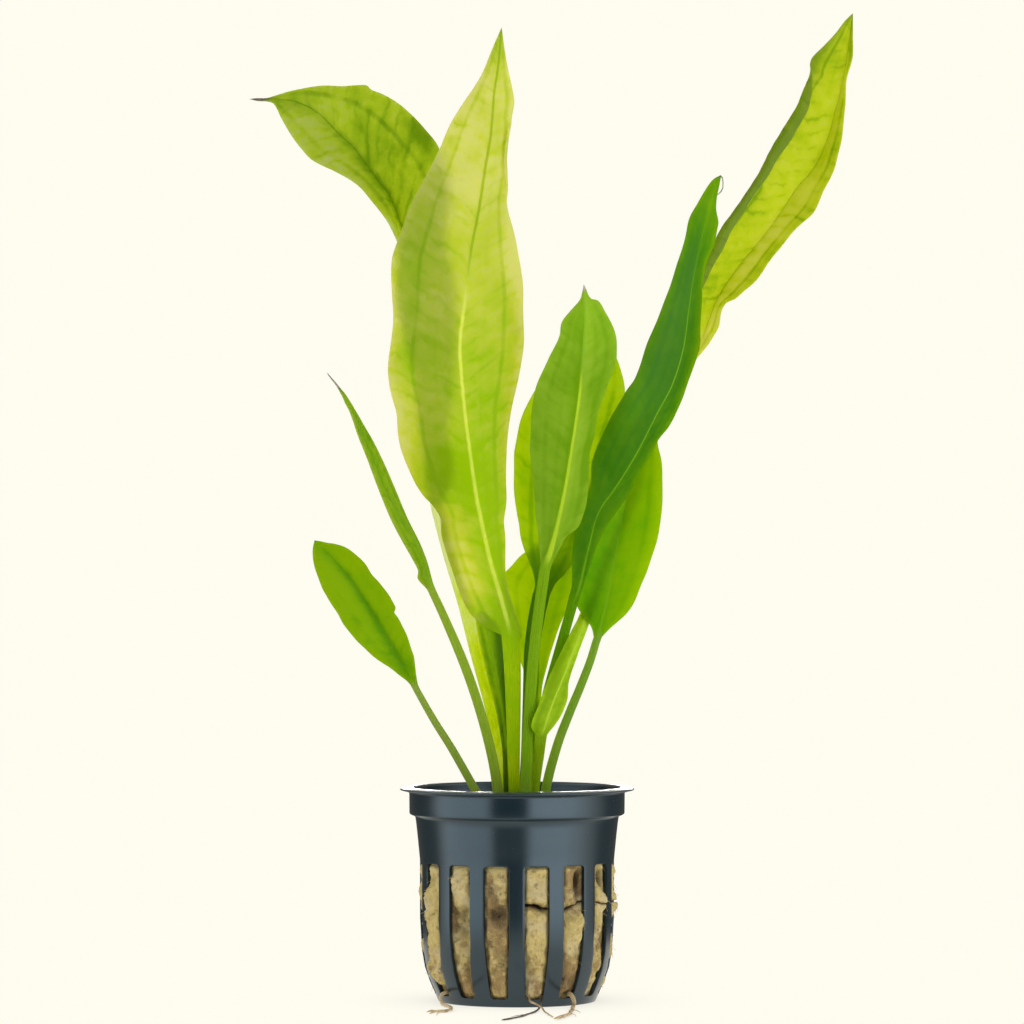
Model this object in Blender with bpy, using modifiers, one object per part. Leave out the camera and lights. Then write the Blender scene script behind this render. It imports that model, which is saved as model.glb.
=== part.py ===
# Potted amazon sword plant: twelve leaves on a short crown, rooted in four pieces
# of rock wool inside a slotted net pot, with a few roots out on the surface.
# All dimensions are in millimetres and become metres where a mesh is made.
# The origin is the middle of the pot's underside, +Z is up and -Y is the front.

import math

import bmesh
import bpy
from mathutils import Matrix, Vector

MM = 0.001
GAP = 0.3                # clearance between pieces that touch

# Net pot
POT_HEIGHT = 51.3
LIP_RADIUS = 28.1        # thin flange around the mouth
LIP_DROOP = 0.3          # how far its top falls from the mouth to its edge
LIP_THICKNESS = 0.45     # at its edge
LIP_FALL = 0.5           # slope of the flange's underside
BAND_RADIUS = 25.8       # stepped band under the flange
BAND_BOTTOM = 45.0
BAND_STEP = 0.7          # height of the step from the band to the wall
WALL_TOP_RADIUS = 24.4
WALL_RADIUS = 23.3
WALL = 0.9
FOOT_RADIUS = 18.8
FLOOR = 1.1
POT_STEPS = 60
SLOTS = 15
FIRST_SLOT_DEG = 11.8    # of the slot just right of the front
SLOT_TOP = 33.5
SLOT_BOTTOM = 1.9
SLOT_MIDDLE = 15.0       # below this a slot narrows towards the foot
SLOT_TOP_WIDTH = 6.0
SLOT_BOTTOM_WIDTH = 4.2
SLOT_CORNER = 0.9        # cut off a slot's top corners
FLOOR_HOLES = 6
FLOOR_HOLE_RADII = (6.5, 15.5)
FLOOR_HOLE_STEPS = 4     # from the middle of an opening to its end
FLOOR_RIB = 3.2
WALL_STRAIGHT = 20.0     # above this the wall is upright
WALL_BELOW = [(22.8, 12), (22.1, 8), (20.9, 4.6), (19.5, 1.5)]   # outside, (radius, height)
INSIDE_BELOW = [(18.2, FLOOR), (18.8, 1.9), (20.0, 4.9), (21.2, 8.3), (21.9, 12.1)]   # inside
LEDGE = 0.1              # from the slots' tops to where the wall starts to widen
CUTTER_REACH = 30.0      # from the pot's axis to where a slot's cutter starts
CUTTER_DEPTH = 14.0

# Rock wool and crown
WOOL_STEPS = 40
WOOL_TOP = 40.0
WOOL_CRACK = 23.9        # height of the level crack on the right
WOOL_SEAM_DEG = -4.0     # lean of the upright seams, seen from above
WOOL_BACK = 9.0          # where the rear piece starts
WOOL_SEAM = 0.6
WOOL_ROUNDING = [(1, 0.4), (0, 2.0)]   # (in from the side, down from the top) at its top edge
WOOL_SEAT_FLARE = 0.6    # how much wider the crown's seat is at the top
WOOL_SEAT_TAPER = 1.0    # and how much narrower at its floor
WOOL_FAR = 40.0          # a reach beyond the wool on every side
CROWN_BOTTOM = 34.0
CROWN_TOP = 43.2
CROWN_RADIUS = 6.6
CROWN_RIBS = 5
CROWN_RIB_SWELL = 0.05   # share of its radius
CROWN_TAPER = 0.18       # share of its radius lost at the top

# Where the leaves' outlines are measured from: the eye's height above the surface,
# its place across, and its distance from the pot's upright axis
EYE_ACROSS = -1.2
EYE_UP = 117.2
EYE_DISTANCE = 1300.0

# Leaf build
STALK_STATIONS = 6
STALK_END = 1.9          # width that a stalk's thickness tends to at its blade
STALK_FLATNESS = 0.42    # half thickness of a stalk, as a share of its width
STALK_SHOULDER = 0.72    # place and half thickness of the corners between its middle and sides
BLADE_STATIONS = 15
BLADE_MIDRIB = 0.9       # thickness of a blade at its rib
BLADE_TIP_LOSS = 0.4     # share of that lost at the tip
BLADE_HALFWAY = 0.55     # and halfway out to its margin
BLADE_BLEND = 0.15       # share of the blade over which the stalk dies out
BLEND_RIB = 1.5          # thickness at the rib where the stalk ends
BLEND_HALFWAY = 0.5      # added to the halfway thickness there
BLEND_SHIFT = 0.2        # added to the halfway point's place there
TANGENT_STEP = 0.02      # share of a line over which its direction is taken
ROOT_STEPS = 14

# Every leaf is one grown piece. Points run from the crown to the tip as (across, up, depth),
# where depth is how far behind the pot's axis they lie. A margin's third number is its
# depth from the midrib. stalk_width is the stalk's width at the crown and at the blade.
LEAVES = {
    "leaf_tall_front": {
        "finish": "leaf_yellow",
        "stalk": [(-0.6, 44, -2.8), (-0.7, 51, -3.2), (-0.8, 60, -4.4), (-0.9, 70, -5.8),
                  (-1.1, 80, -7.1), (-1.5, 87.7, -8.2)],
        "stalk_width": (2.2, 4.4),
        "rib": [(-1.5, 87.7, -8.2), (-3.8, 96.4, -9.2), (-6.2, 104.5, -10.2),
                (-8.2, 113.4, -11.2), (-9.8, 121.3, -12), (-11.3, 131.6, -12.9),
                (-12.5, 141, -13.8), (-13.4, 150.8, -14.6), (-13.7, 157.8, -15.2),
                (-12.7, 166.4, -15.9), (-11, 180.1, -17), (-9.2, 189.5, -17.9),
                (-7.5, 200.5, -19), (-6.3, 207.7, -20.2), (-5.4, 218.3, -22.1),
                (-4.5, 224.3, -23.7), (-3.7, 233.5, -26)],
        "left": [(-3.7, 87.7, 0.2), (-7.4, 89.4, 0.7), (-10.3, 91.8, 1.2), (-12.4, 94.7, 1.5),
                 (-14.2, 99, 1.9), (-15.9, 104, 2.3), (-17.2, 108.1, 2.7), (-18.1, 111.7, 3.1),
                 (-18.4, 115.8, 3.6), (-20.2, 118.9, 4), (-22.3, 121.1, 4.3), (-24.9, 124.9, 4.9),
                 (-27.5, 130.7, 5.6), (-28.6, 135.7, 5.9), (-29, 141, 6.3), (-30.1, 145.8, 6.6),
                 (-30.9, 152.5, 6.8), (-30.5, 157.3, 6.7), (-29.8, 163.3, 6.7),
                 (-30.2, 170.5, 6.6), (-29.8, 178, 6), (-28.1, 183.7, 5.6), (-26.2, 189.2, 5.2),
                 (-23.8, 194.5, 4.8), (-18.6, 204.1, 3.8), (-16.1, 210.1, 3.2),
                 (-13.3, 214.8, 2.6), (-10.6, 218.8, 2.1), (-8.5, 222.4, 1.6), (-6.2, 227.8, 0.9),
                 (-3.7, 233.5, 0)],
        "right": [(1.3, 87.7, 0.2), (0.3, 91, 0.5), (-0.9, 94.5, 0.8), (-2, 98.5, 1.2),
                  (-2.7, 103.3, 1.6), (-2.7, 111.2, 2.3), (-3.2, 115.1, 2.6), (-2.7, 120.1, 3),
                  (-2.6, 126.1, 3.5), (-2.4, 132.1, 4), (-1.7, 138.1, 4.5), (-1, 144.1, 5),
                  (0.7, 151.3, 5.4), (1.7, 158.5, 5.9), (1.6, 168.8, 5.9), (0.7, 176.5, 5.6),
                  (-0.4, 182.3, 5.1), (-1.8, 188.8, 4.6), (-2.4, 193.6, 4.1), (-3, 198.6, 3.6),
                  (-3.2, 202.4, 3.2), (-2.9, 206.3, 2.9), (-2.3, 209.6, 2.5), (-1.2, 212.8, 2.2),
                  (-0.6, 215.4, 2), (-0.9, 218.3, 1.7), (-1.9, 222.6, 1.2), (-2.8, 227.3, 0.7),
                  (-3.7, 233.5, 0)],
    },
    "leaf_arching_left": {
        "finish": "leaf_yellow",
        "stalk": [(-2.4, 44, 1.2), (-2.6, 51, 1.4), (-3.8, 60, 2), (-6.6, 72, 2.6), (-9.8, 84, 3),
                  (-12.8, 96, 3.4), (-16.1, 107, 3.8), (-19.2, 118.9, 4.2)],
        "stalk_width": (3, 3.4),
        "rib": [(-19.2, 118.9, 4.2), (-19, 129.7, 4.7), (-19.2, 139.3, 5.1), (-19.9, 151.3, 5.9),
                (-20.9, 160.9, 6.6), (-23.3, 174.1, 8), (-25.4, 180.6, 9), (-28.1, 186.4, 10),
                (-30.7, 193.1, 11), (-34.1, 197.6, 11.8), (-36.8, 201.5, 12.4),
                (-39.6, 205.1, 13), (-43, 208.2, 13.4), (-47.5, 212.8, 14), (-52.8, 215.6, 14),
                (-56.9, 216.2, 14), (-61.2, 216.2, 13.7), (-64.3, 216.3, 13.4)],
        "left": [(-20.8, 118.9, 0), (-21.6, 127.3, -0.7), (-22.8, 136.9, -1.6),
                 (-23.8, 144.1, -2.2), (-25.4, 154.9, -3), (-27.4, 162.8, -3.4),
                 (-28.2, 168.1, -3.7), (-28.4, 175.3, -4), (-28.5, 181.3, -4.2),
                 (-30.2, 185.4, -4.3), (-32.2, 188.8, -4.4), (-34.2, 191.6, -4.4),
                 (-37.1, 194.6, -4.2), (-41, 197.1, -4.1), (-44.4, 199.1, -4),
                 (-49.3, 201.7, -3.4), (-51.8, 204.4, -2.9), (-54.2, 207.8, -2.3),
                 (-56.6, 211.8, -1.6), (-58.3, 215, -1), (-59.8, 215.6, -0.7),
                 (-62.2, 215.8, -0.4), (-64.3, 216.3, 0)],
        "right": [(-17.6, 118.9, 0), (-14.9, 127.3, -0.7), (-13.2, 136.9, -1.4),
                  (-11.8, 146.5, -1.9), (-11.3, 158.5, -2.6), (-11.5, 169.3, -3),
                  (-13.2, 180.1, -3.4), (-15.6, 192.1, -3.4), (-17.3, 200.5, -3.4),
                  (-19.4, 205.6, -3.4), (-21.4, 208.3, -3.3), (-24.4, 211.8, -3.2),
                  (-28.3, 215.2, -3), (-32.2, 217.5, -2.7), (-35, 218.6, -2.5),
                  (-36, 219.6, -2.4), (-39.1, 219.6, -2.1), (-42, 219.4, -1.9),
                  (-46.9, 219.5, -1.5), (-51.8, 218.8, -1), (-55.4, 218, -0.7),
                  (-58.1, 217.1, -0.5), (-59.8, 216.5, -0.4), (-62.2, 216.5, -0.2),
                  (-64.3, 216.3, 0)],
    },
    "leaf_narrow_left": {
        "stalk": [(-4.4, 44, -2.4), (-4.7, 51, -3), (-6.3, 60, -4.2), (-9.3, 71, -5.6),
                  (-12.8, 81, -7), (-17.7, 92.5, -9), (-20.5, 98.5, -10)],
        "stalk_width": (2.5, 2.1),
        "rib": [(-20.5, 98.5, -10), (-22.5, 105.7, -11.4), (-26.2, 113, -13), (-29.3, 118.2, -14),
                (-31.7, 122.5, -14.8), (-34.3, 129, -15.9), (-36.7, 134.5, -16.8),
                (-38.6, 139.3, -17.7), (-40.1, 142, -18.2), (-41.3, 144.4, -18.7),
                (-43, 147.2, -19.3), (-45.7, 150.7, -20)],
        "left": [(-21.5, 98.5, -0.4), (-22.3, 99.4, -0.6), (-23.3, 100.4, -1.1),
                 (-23.9, 101.4, -1.5), (-23.7, 103, -2.1), (-25, 105.7, -3.1),
                 (-28.1, 111.2, -4.3), (-30.5, 116, -5.2), (-33.4, 123.2, -5.1), (-36, 130.2, -5),
                 (-38.2, 135.7, -3.8), (-40, 141, -2.8), (-41.3, 143.6, -2.1),
                 (-42.2, 145.6, -1.5), (-43.9, 148.4, -0.7), (-45.7, 150.7, 0)],
        "right": [(-19.5, 98.5, 0.4), (-20.4, 100.9, 1.4), (-21.4, 104.5, 2.8), (-22.6, 107.9, 4),
                  (-23.8, 110.6, 4.9), (-26.4, 115.8, 5.3), (-29.3, 122.8, 5.6),
                  (-31.9, 128.8, 4.9), (-34.6, 134.3, 4.2), (-36.7, 137.9, 3.2),
                  (-38.6, 141.2, 2.4), (-39.8, 143.2, 1.9), (-41, 145.1, 1.5), (-43, 147.5, 0.9),
                  (-45.7, 150.7, 0)],
    },
    "leaf_spoon_left": {
        "stalk": [(-6.4, 44.2, 0.4), (-10.3, 51, -0.8), (-15.7, 60.5, -3.4), (-19.8, 67, -5.6),
                  (-24.7, 75.6, -8.8)],
        "stalk_width": (2.2, 1.6),
        "rib": [(-24.7, 75.6, -8.8), (-25.9, 78.1, -9.7), (-29.3, 84.1, -11.8),
                (-34.1, 92.3, -14.6), (-39.6, 100.7, -17), (-43.7, 105.7, -18.4),
                (-46.6, 108.6, -19.1), (-48.6, 110.4, -19.6)],
        "left": [(-25.6, 75.7, 0.2), (-26.4, 76.6, -0), (-28.1, 77.9, -0.4), (-30.5, 79.8, -1),
                 (-33.4, 81.7, -1.6), (-36, 83.9, -2), (-38.6, 86.4, -2.4), (-41.3, 89.9, -2.6),
                 (-43.3, 93.1, -2.8), (-45.4, 96.4, -2.5), (-47.3, 100.4, -2.2),
                 (-48.5, 103.6, -1.5), (-49, 106, -1), (-49, 108.4, -0.5), (-48.6, 110.4, 0)],
        "right": [(-23.8, 75.9, -0.2), (-24.2, 78.1, -0.6), (-24.5, 81, -1.2),
                  (-24.8, 82.9, -1.6), (-25.9, 86, -2), (-27.4, 89.6, -2.5), (-28.8, 92.3, -2.6),
                  (-29.4, 93.2, -2.6), (-29, 94.3, -2.7), (-30, 95.9, -2.7), (-31.2, 97.8, -2.8),
                  (-32.9, 100, -2.5), (-34.6, 102.1, -2.3), (-36.2, 104.5, -2),
                  (-38.4, 106.7, -1.7), (-41.3, 108.8, -1), (-43.7, 109.6, -0.6),
                  (-45.4, 109.8, -0.4), (-47.3, 110.2, -0.2), (-48.6, 110.4, 0)],
    },
    "leaf_middle_front": {
        "stalk": [(1.9, 44, -5.6), (2.1, 51, -6.2), (2.5, 61, -7.4), (3.1, 71, -8.6),
                  (3.9, 81.5, -10), (5, 91.6, -11.4), (6.8, 104.5, -13.4)],
        "stalk_width": (2.8, 2.6),
        "rib": [(7, 104.5, -13.4), (7.4, 105.7, -13.6), (9.1, 111.7, -14.5), (11.5, 122.5, -16.4),
                (13.4, 134, -18.6), (14.9, 144.1, -20.7), (15.6, 151.8, -22.4),
                (16.1, 158.5, -24.2), (16.4, 165.7, -26.3), (16.2, 168.8, -27.4),
                (16, 171.8, -28.4)],
        "left": [(5.7, 104.5, 0.2), (5, 112.9, 1.9), (4.2, 119.4, 2.8), (3.6, 127.3, 3.7),
                 (3.2, 134.5, 4), (3.4, 141, 4.1), (4.1, 145.3, 4), (5.3, 148.9, 3.7),
                 (7.4, 153.7, 3.2), (10.1, 159.5, 2.4), (10.8, 162.8, 1.9), (13, 165.7, 1.3),
                 (15.1, 168.1, 0.7), (15.6, 169.6, 0.4), (16, 171.8, 0)],
        "right": [(8.3, 104.5, 0.2), (10.3, 108.4, 0.9), (12, 111.5, 1.5), (14.6, 113.6, 2),
                  (15.8, 116.3, 2.4), (16.8, 120.1, 2.9), (17.4, 124.2, 3.4), (17.2, 128.5, 3.7),
                  (17.5, 132.1, 3.9), (18.7, 136.9, 4), (20.2, 142.9, 3.9), (21.8, 147.7, 3.9),
                  (23, 151.3, 3.8), (23.9, 154.4, 3.6), (24, 158.5, 2.8), (23, 161.9, 2.3),
                  (21.2, 165.2, 1.6), (19.4, 168, 1.1), (17.8, 168.4, 0.7), (17, 169.6, 0.5),
                  (16.6, 170.8, 0.2), (16, 171.8, 0)],
    },
    "leaf_middle_back": {
        "stalk": [(1.5, 44, 0.2), (1.8, 51, 0.2), (2.4, 60, 1.2), (3, 72, 2.8), (3.6, 84, 4.6),
                  (4.6, 91.5, 5.7), (5.8, 97.3, 6.6)],
        "stalk_width": (2.2, 4.2),
        "rib": [(5.8, 97.3, 6.6), (6.7, 104.5, 7.8), (8.2, 110.5, 8.8), (9.8, 118.9, 10.3),
                (11.3, 127.3, 11.8), (13.7, 134.5, 13.2), (16.3, 141.7, 14.6),
                (19.4, 149.4, 16.4), (22.3, 156.6, 18)],
        "left": [(3.7, 97.3, 0), (4.3, 99.5, -0.2), (4, 102.1, -0.5), (2.9, 105.2, -0.9),
                 (1.7, 108.1, -1.4), (0.7, 111.5, -1.8), (0.5, 114.4, -2.1), (-0.5, 120.1, -2.5),
                 (-0.8, 124, -2.8), (-0.8, 129.7, -2.9), (-0.2, 134, -3), (1, 139.6, -2.8),
                 (2.9, 144.1, -2.4), (5.8, 148.2, -2.1), (11.5, 152.5, -1.3), (17, 155.2, -0.6),
                 (22.3, 156.6, 0)],
        "right": [(7.9, 97.3, 0), (9.4, 100.2, -0.3), (12, 102.8, -0.7), (14.2, 106, -1.1),
                  (15.8, 110.3, -1.5), (17.5, 117.2, -1.9), (20.4, 124.9, -2.4),
                  (22.8, 131.6, -2.6), (24.7, 138.1, -2.8), (25.9, 145.3, -2.2),
                  (25.8, 147.7, -2), (25.2, 150.4, -1.5), (24, 154, -0.7), (22.3, 156.6, 0)],
    },
    "leaf_dark_right": {
        "finish": "leaf_deep",
        "stalk": [(3.9, 44, -0.4), (4.3, 51, -0.4), (5.2, 61, -0.6), (6.2, 68.5, -1),
                  (7.7, 75, -1), (10.2, 84, -0.9), (13.3, 95, -3.2)],
        "stalk_width": (2.4, 2.5),
        "rib": [(13.3, 95, -3.2), (14.6, 98.5, -3.7), (17.1, 108.8, -5), (19.4, 117, -6),
                (22.8, 122, -6.6), (25.9, 126.6, -7.2), (29.5, 132.8, -7.8), (33.4, 140.5, -8.6),
                (37.2, 147.7, -9.1), (39.8, 156.1, -9.6), (41, 164.5, -9.9), (42.2, 172.9, -10),
                (43.7, 180.1, -10), (45.4, 187.8, -9.9), (47.3, 194, -9.7), (49, 198.1, -9.6)],
        "left": [(12, 95, 0), (12.6, 97.5, -0.1), (13.3, 100.4, -0.3), (13.1, 105, -0.6),
                 (13.4, 109.3, -0.9), (14.6, 115.3, -1.3), (17.5, 123.5, -1.7), (18, 129.2, -2),
                 (21.1, 136.9, -2.3), (25.9, 146, -2.6), (28.3, 149.3, -2.6), (31.4, 157.8, -2.6),
                 (34, 164.5, -2.5), (36.7, 171.5, -2.2), (38.9, 177.8, -1.9), (40.4, 183.5, -1.5),
                 (41.3, 187.7, -1.3), (43.2, 191.2, -1), (46, 195.7, -0.5), (47.3, 197.2, -0.3),
                 (49, 198.1, 0)],
        "right": [(14.6, 95, 0.2), (16.2, 100.4, 0.6), (18, 105.2, 1), (19.9, 110.5, 1.4),
                  (21.6, 114.1, 1.7), (24.7, 118.4, 2.2), (27.1, 122, 2.7), (29, 125.4, 3),
                  (31.4, 130, 3.5), (34, 134.9, 4), (36, 137.6, 4.3), (39.6, 143.3, 4.7),
                  (41, 148.2, 4.8), (42.7, 153.2, 5), (44.2, 162.4, 4.7), (44.6, 171.5, 4.3),
                  (45.2, 177.2, 3.6), (47.3, 181.3, 3.1), (48.2, 185.4, 2.7), (48.4, 186.8, 2.5),
                  (47.9, 189.7, 2), (48, 192.8, 1.5), (48.4, 195.2, 0.9), (49, 198.1, 0)],
    },
    "leaf_folded_right": {
        "finish": "leaf_yellow",
        "stalk": [(3.9, 44, 3.4), (5.1, 51, 4.4), (7.6, 62.5, 6.6), (10.3, 74.5, 9), (13.7, 84, 11),
                  (17, 93.7, 13), (21.6, 107, 16), (26.6, 120.1, 19.4)],
        "stalk_width": (2.3, 2.4),
        "rib": [(26.6, 120.1, 19.4), (33.6, 137.5, 23), (38.2, 146.5, 24.8), (44.4, 158.5, 27.4), (52.8, 175.6, 31.4),
                (64.3, 190.7, 35.4), (71.3, 200, 38.4), (76.1, 212.3, 41.2), (79.2, 225.7, 44),
                (80.6, 236.8, 46.6)],
        "left": [(25.5, 120.6, -0.2), (29.2, 134.5, -2.3), (34.6, 148.9, -4.1), (38.9, 160.9, -5.4),
                 (45.1, 175.6, -6.8),
                 (56.9, 194.8, -8), (66.7, 210, -7), (71, 222, -4.8), (80.6, 236.8, 0)],
        "right": [(27.7, 119.4, -0.2), (35.6, 140.5, -1.7), (41.6, 151.8, -2.3), (52.3, 168.8, -3),
                  (67.2, 185.4, -3.4), (76.6, 200.5, -3), (78.4, 214, -2), (80.8, 228, -1),
                  (80.6, 236.8, 0)],
    },
    "leaf_round_right": {
        "finish": "leaf_deep",
        "stalk": [(6.4, 44, -1.8), (7, 51, -1.8), (9.7, 61.3, -1.6), (12.6, 69, -1.4),
                  (15.1, 75, -1.2), (17.6, 81.5, -1), (19.3, 87.2, -0.8)],
        "stalk_width": (2.4, 1.9),
        "rib": [(19.4, 87.2, -0.8), (20.4, 91.3, -0.4), (21.4, 94.9, -0.1), (22.6, 100.9, 0.7),
                (24.2, 109.3, 1.9), (25.7, 117.2, 3.2), (27.6, 125.4, 4.7), (29.5, 133.8, 6.5),
                (31.4, 142.2, 8.4)],
        "left": [(18.4, 87.2, 0), (17.9, 89.4, -0.1), (16.3, 91.8, -0.2), (14.6, 94.2, -0.4),
                 (13.2, 98.5, -0.7), (13.2, 103.3, -1), (13.7, 109.3, -1.4), (15.6, 116.5, -1.5),
                 (18, 122.5, -1.6), (21.1, 129, -1.3), (24.7, 135.5, -0.9), (28.6, 140.3, -0.3),
                 (31.4, 142.2, 0)],
        "right": [(20.4, 87.2, 0), (22.3, 89.2, -0.5), (24.7, 91.3, -1.1), (26.4, 93, -1.5),
                  (28.3, 95.9, -2), (30, 100, -2.3), (31.4, 103.3, -2.6), (33.1, 108.8, -3),
                  (34.3, 114.1, -3), (34.9, 118.9, -3), (35, 124.4, -2.6), (34.6, 129.7, -2),
                  (33.8, 133.3, -1.6), (33.4, 138.1, -0.8), (31.4, 142.2, 0)],
    },
    "leaf_inner_back": {
        "stalk": [(0.8, 44, 2.3), (1.6, 51, 2.4), (3.2, 60, 4), (4.1, 65, 5.3), (4.9, 71, 7)],
        "stalk_width": (2.2, 1.8),
        "rib": [(4.9, 71, 7), (5.3, 84, 10.4), (6, 96, 14.4), (9.4, 108, 18.8),
                (14.2, 117.7, 22.8), (19.9, 127.3, 27)],
        "left": [(4.2, 71, 0), (1, 81, -0.8), (-1.2, 88, -1.4), (-3, 94, -1.9), (-4, 99.5, -2.2),
                 (-3.2, 102.2, -2.3), (-1.2, 104.4, -2.4), (0.7, 106.6, -2.4), (5.3, 110.3, -2.2),
                 (11.5, 120, -1.2), (19.9, 127.3, 0)],
        "right": [(5.7, 71, 0), (6.2, 76.5, -0.5), (7.3, 80.5, -0.9), (8.3, 84, -1.2),
                  (10.2, 89.5, -1.6), (12, 94.4, -2), (13.2, 98, -2.2), (15.4, 108, -2.2),
                  (18.5, 117.7, -1.2), (19.9, 127.3, 0)],
    },
    "leaf_folded_young": {
        "stalk": [(4.1, 44, -3.2), (4.2, 51, -4), (4.7, 55.5, -5), (5.2, 59, -6.2),
                  (5.8, 63.7, -8.8)],
        "stalk_width": (2.3, 2.8),
        "rib": [(5.8, 63.7, -8.8), (6.9, 66.8, -9.4), (8.3, 70.7, -8.8), (11.2, 77.9, -6.6),
                (14, 85.3, -3.8), (17.4, 93.7, 1.9), (19.9, 98.5, 3.6)],
        "left": [(4.4, 63.7, -0.4), (3.4, 66, -1.6), (5.2, 71, -1.4), (7.4, 77, -1),
                 (10.9, 84.4, -0.3), (15.1, 92.3, 0.1), (19.9, 98.5, 0)],
        "right": [(7.2, 63.7, 0), (10.3, 67.8, 1), (12, 72, 1.4), (12.4, 76.4, 1.2),
                  (14.6, 83, 0.8), (17, 89.6, 0.4), (19.9, 98.5, 0)],
    },
    "leaf_inner_young": {
        "stalk": [(-2.2, 44, -0.9), (-2.3, 51, -1), (-2.5, 60, -1.3)],
        "stalk_width": (1.9, 1.9),
        "rib": [(-2.5, 60, -1.3), (-3.6, 70, -1.9), (-4.9, 78, -2.5), (-6.3, 85.3, -3),
                (-7.8, 90.5, -3.3), (-8.8, 94, -3.4)],
        "left": [(-3.5, 60, 0), (-4.6, 67.3, 0.1), (-5.8, 72.5, 0.2), (-7.2, 78, 0.3),
                 (-8.6, 84, 0.5), (-9.7, 89.5, 0.5), (-9.9, 92, 0.2), (-8.8, 94, 0)],
        "right": [(-1.5, 60, 0), (-2, 70, 0.6), (-2.5, 78.8, 1.2), (-3.2, 86.5, 1.4),
                  (-4.8, 91, 0.8), (-8.8, 94, 0)],
    },
}

# Roots that come out of the slots just above the foot and lie on the surface in front,
# as the route (x, y, z) of the middle of each
ROOTS = {
    "root_left": {
        "radius": 0.4,
        "route": [(-16.4, -10.4, 2.9), (-17.6, -11.4, 2.6), (-18.2, -13.4, 1.7), (-17.8, -16, 0.7),
                  (-17, -18.5, 0.5), (-15.4, -25, 0.5), (-16.6, -33, 0.5), (-19.6, -34, 0.5)],
    },
    "root_front_dark": {
        "finish": "root_dark",
        "radius": 0.28,
        "route": [(5.7, -18.6, 2.9), (6, -20.4, 2.6), (5.8, -22, 1.6), (5.4, -24, 0.6),
                  (5, -26.5, 0.36), (4, -34, 0.36), (0.6, -46, 0.36), (-3.5, -54, 0.36)],
    },
    "root_front_fine": {
        "radius": 0.25,
        "route": [(2.9, -19.2, 2.9), (3, -21, 2.5), (3.3, -22.6, 1.8), (4.6, -26, 1.4),
                  (5.8, -30, 1), (6.6, -35, 0.4), (7.2, -39, 0.34), (8.2, -47, 0.34)],
    },
    "root_right": {
        "radius": 0.5,
        "route": [(12.3, -15.1, 2.9), (13, -16.4, 2.6), (13.4, -18.2, 1.7), (13.4, -20.4, 0.8),
                  (13.2, -23, 0.6), (12.8, -33, 0.6), (11.4, -45, 0.6), (8.6, -53.4, 0.6)],
    },
}

# Finishes: colour, roughness and metallic value
FINISHES = {
    "pot_plastic": ((0.055, 0.085, 0.11), 0.38, 0.0),
    "rock_wool": ((0.52, 0.41, 0.22), 0.95, 0.0),
    "crown_tissue": ((0.30, 0.33, 0.10), 0.6, 0.0),
    "root_pale": ((0.55, 0.48, 0.33), 0.7, 0.0),
    "root_dark": ((0.12, 0.08, 0.05), 0.7, 0.0),
    "leaf_yellow": ((0.45, 0.62, 0.05), 0.42, 0.0),
    "leaf_fresh": ((0.22, 0.45, 0.02), 0.42, 0.0),
    "leaf_deep": ((0.08, 0.27, 0.01), 0.40, 0.0),
}



def clear_scene():
    for obj in list(bpy.data.objects):
        bpy.data.objects.remove(obj, do_unlink=True)


def collection(name, helper=False):
    made = bpy.data.collections.new(name)
    made.hide_render = helper
    bpy.context.scene.collection.children.link(made)
    return made


def finish(name):
    """The material of that name, made on first use."""
    if name in bpy.data.materials:
        return bpy.data.materials[name]
    colour, roughness, metallic = FINISHES[name]
    made = bpy.data.materials.new(name)
    made.use_nodes = True
    shader = made.node_tree.nodes["Principled BSDF"]
    shader.inputs["Base Color"].default_value = (*colour, 1.0)
    shader.inputs["Roughness"].default_value = roughness
    shader.inputs["Metallic"].default_value = metallic
    made.diffuse_color = (*colour, 1.0)
    return made


def add_object(name, data, place, finish_name=None):
    obj = bpy.data.objects.new(name, data)
    place.objects.link(obj)
    if finish_name:
        data.materials.append(finish(finish_name))
    return obj


def mesh_object(name, bm, place, finish_name=None, smooth=True):
    """An object from a bmesh whose points are in millimetres."""
    bmesh.ops.scale(bm, vec=(MM, MM, MM), verts=bm.verts)
    bmesh.ops.recalc_face_normals(bm, faces=bm.faces)
    mesh = bpy.data.meshes.new(name)
    bm.to_mesh(mesh)
    bm.free()
    for face in mesh.polygons:
        face.use_smooth = smooth
    return add_object(name, mesh, place, finish_name)


def turned(name, profile, steps, place, finish_name=None):
    """A solid of revolution about Z. The profile runs down its outer side, then back up inside."""
    bm = bmesh.new()
    points = [bm.verts.new((radius, 0, up)) for radius, up in profile]
    for a, b in zip(points, points[1:] + points[:1]):
        bm.edges.new((a, b))
    axis_edges = [e for e in bm.edges if all(v.co.x == 0 for v in e.verts)]
    bmesh.ops.delete(bm, geom=axis_edges, context="EDGES")
    obj = mesh_object(name, bm, place, finish_name)
    screw = obj.modifiers.new("turn", "SCREW")
    screw.steps = steps
    screw.render_steps = steps
    screw.use_merge_vertices = True
    screw.merge_threshold = 0.00001
    screw.use_smooth_shade = True
    return obj


def prism(bm, outline, depth, matrix):
    """Adds a prism to the bmesh: an outline in its own XZ plane, as thick as depth along Y."""
    base = [bm.verts.new((x, 0, z)) for x, z in outline]
    face = bm.faces.new(base)
    grown = bmesh.ops.extrude_face_region(bm, geom=[face])["geom"]
    moved = [g for g in grown if isinstance(g, bmesh.types.BMVert)]
    bmesh.ops.translate(bm, vec=(0, depth, 0), verts=moved)
    bmesh.ops.transform(bm, matrix=matrix, verts=base + moved)


def boolean(obj, other, operation):
    cut = obj.modifiers.new(other.name, "BOOLEAN")
    cut.operation = operation
    cut.solver = "EXACT"
    cut.object = other


def turn_deg(angle):
    """The turn that carries the front, -Y, to this angle, counted towards +X."""
    return Matrix.Rotation(math.radians(angle), 4, "Z")


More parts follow.
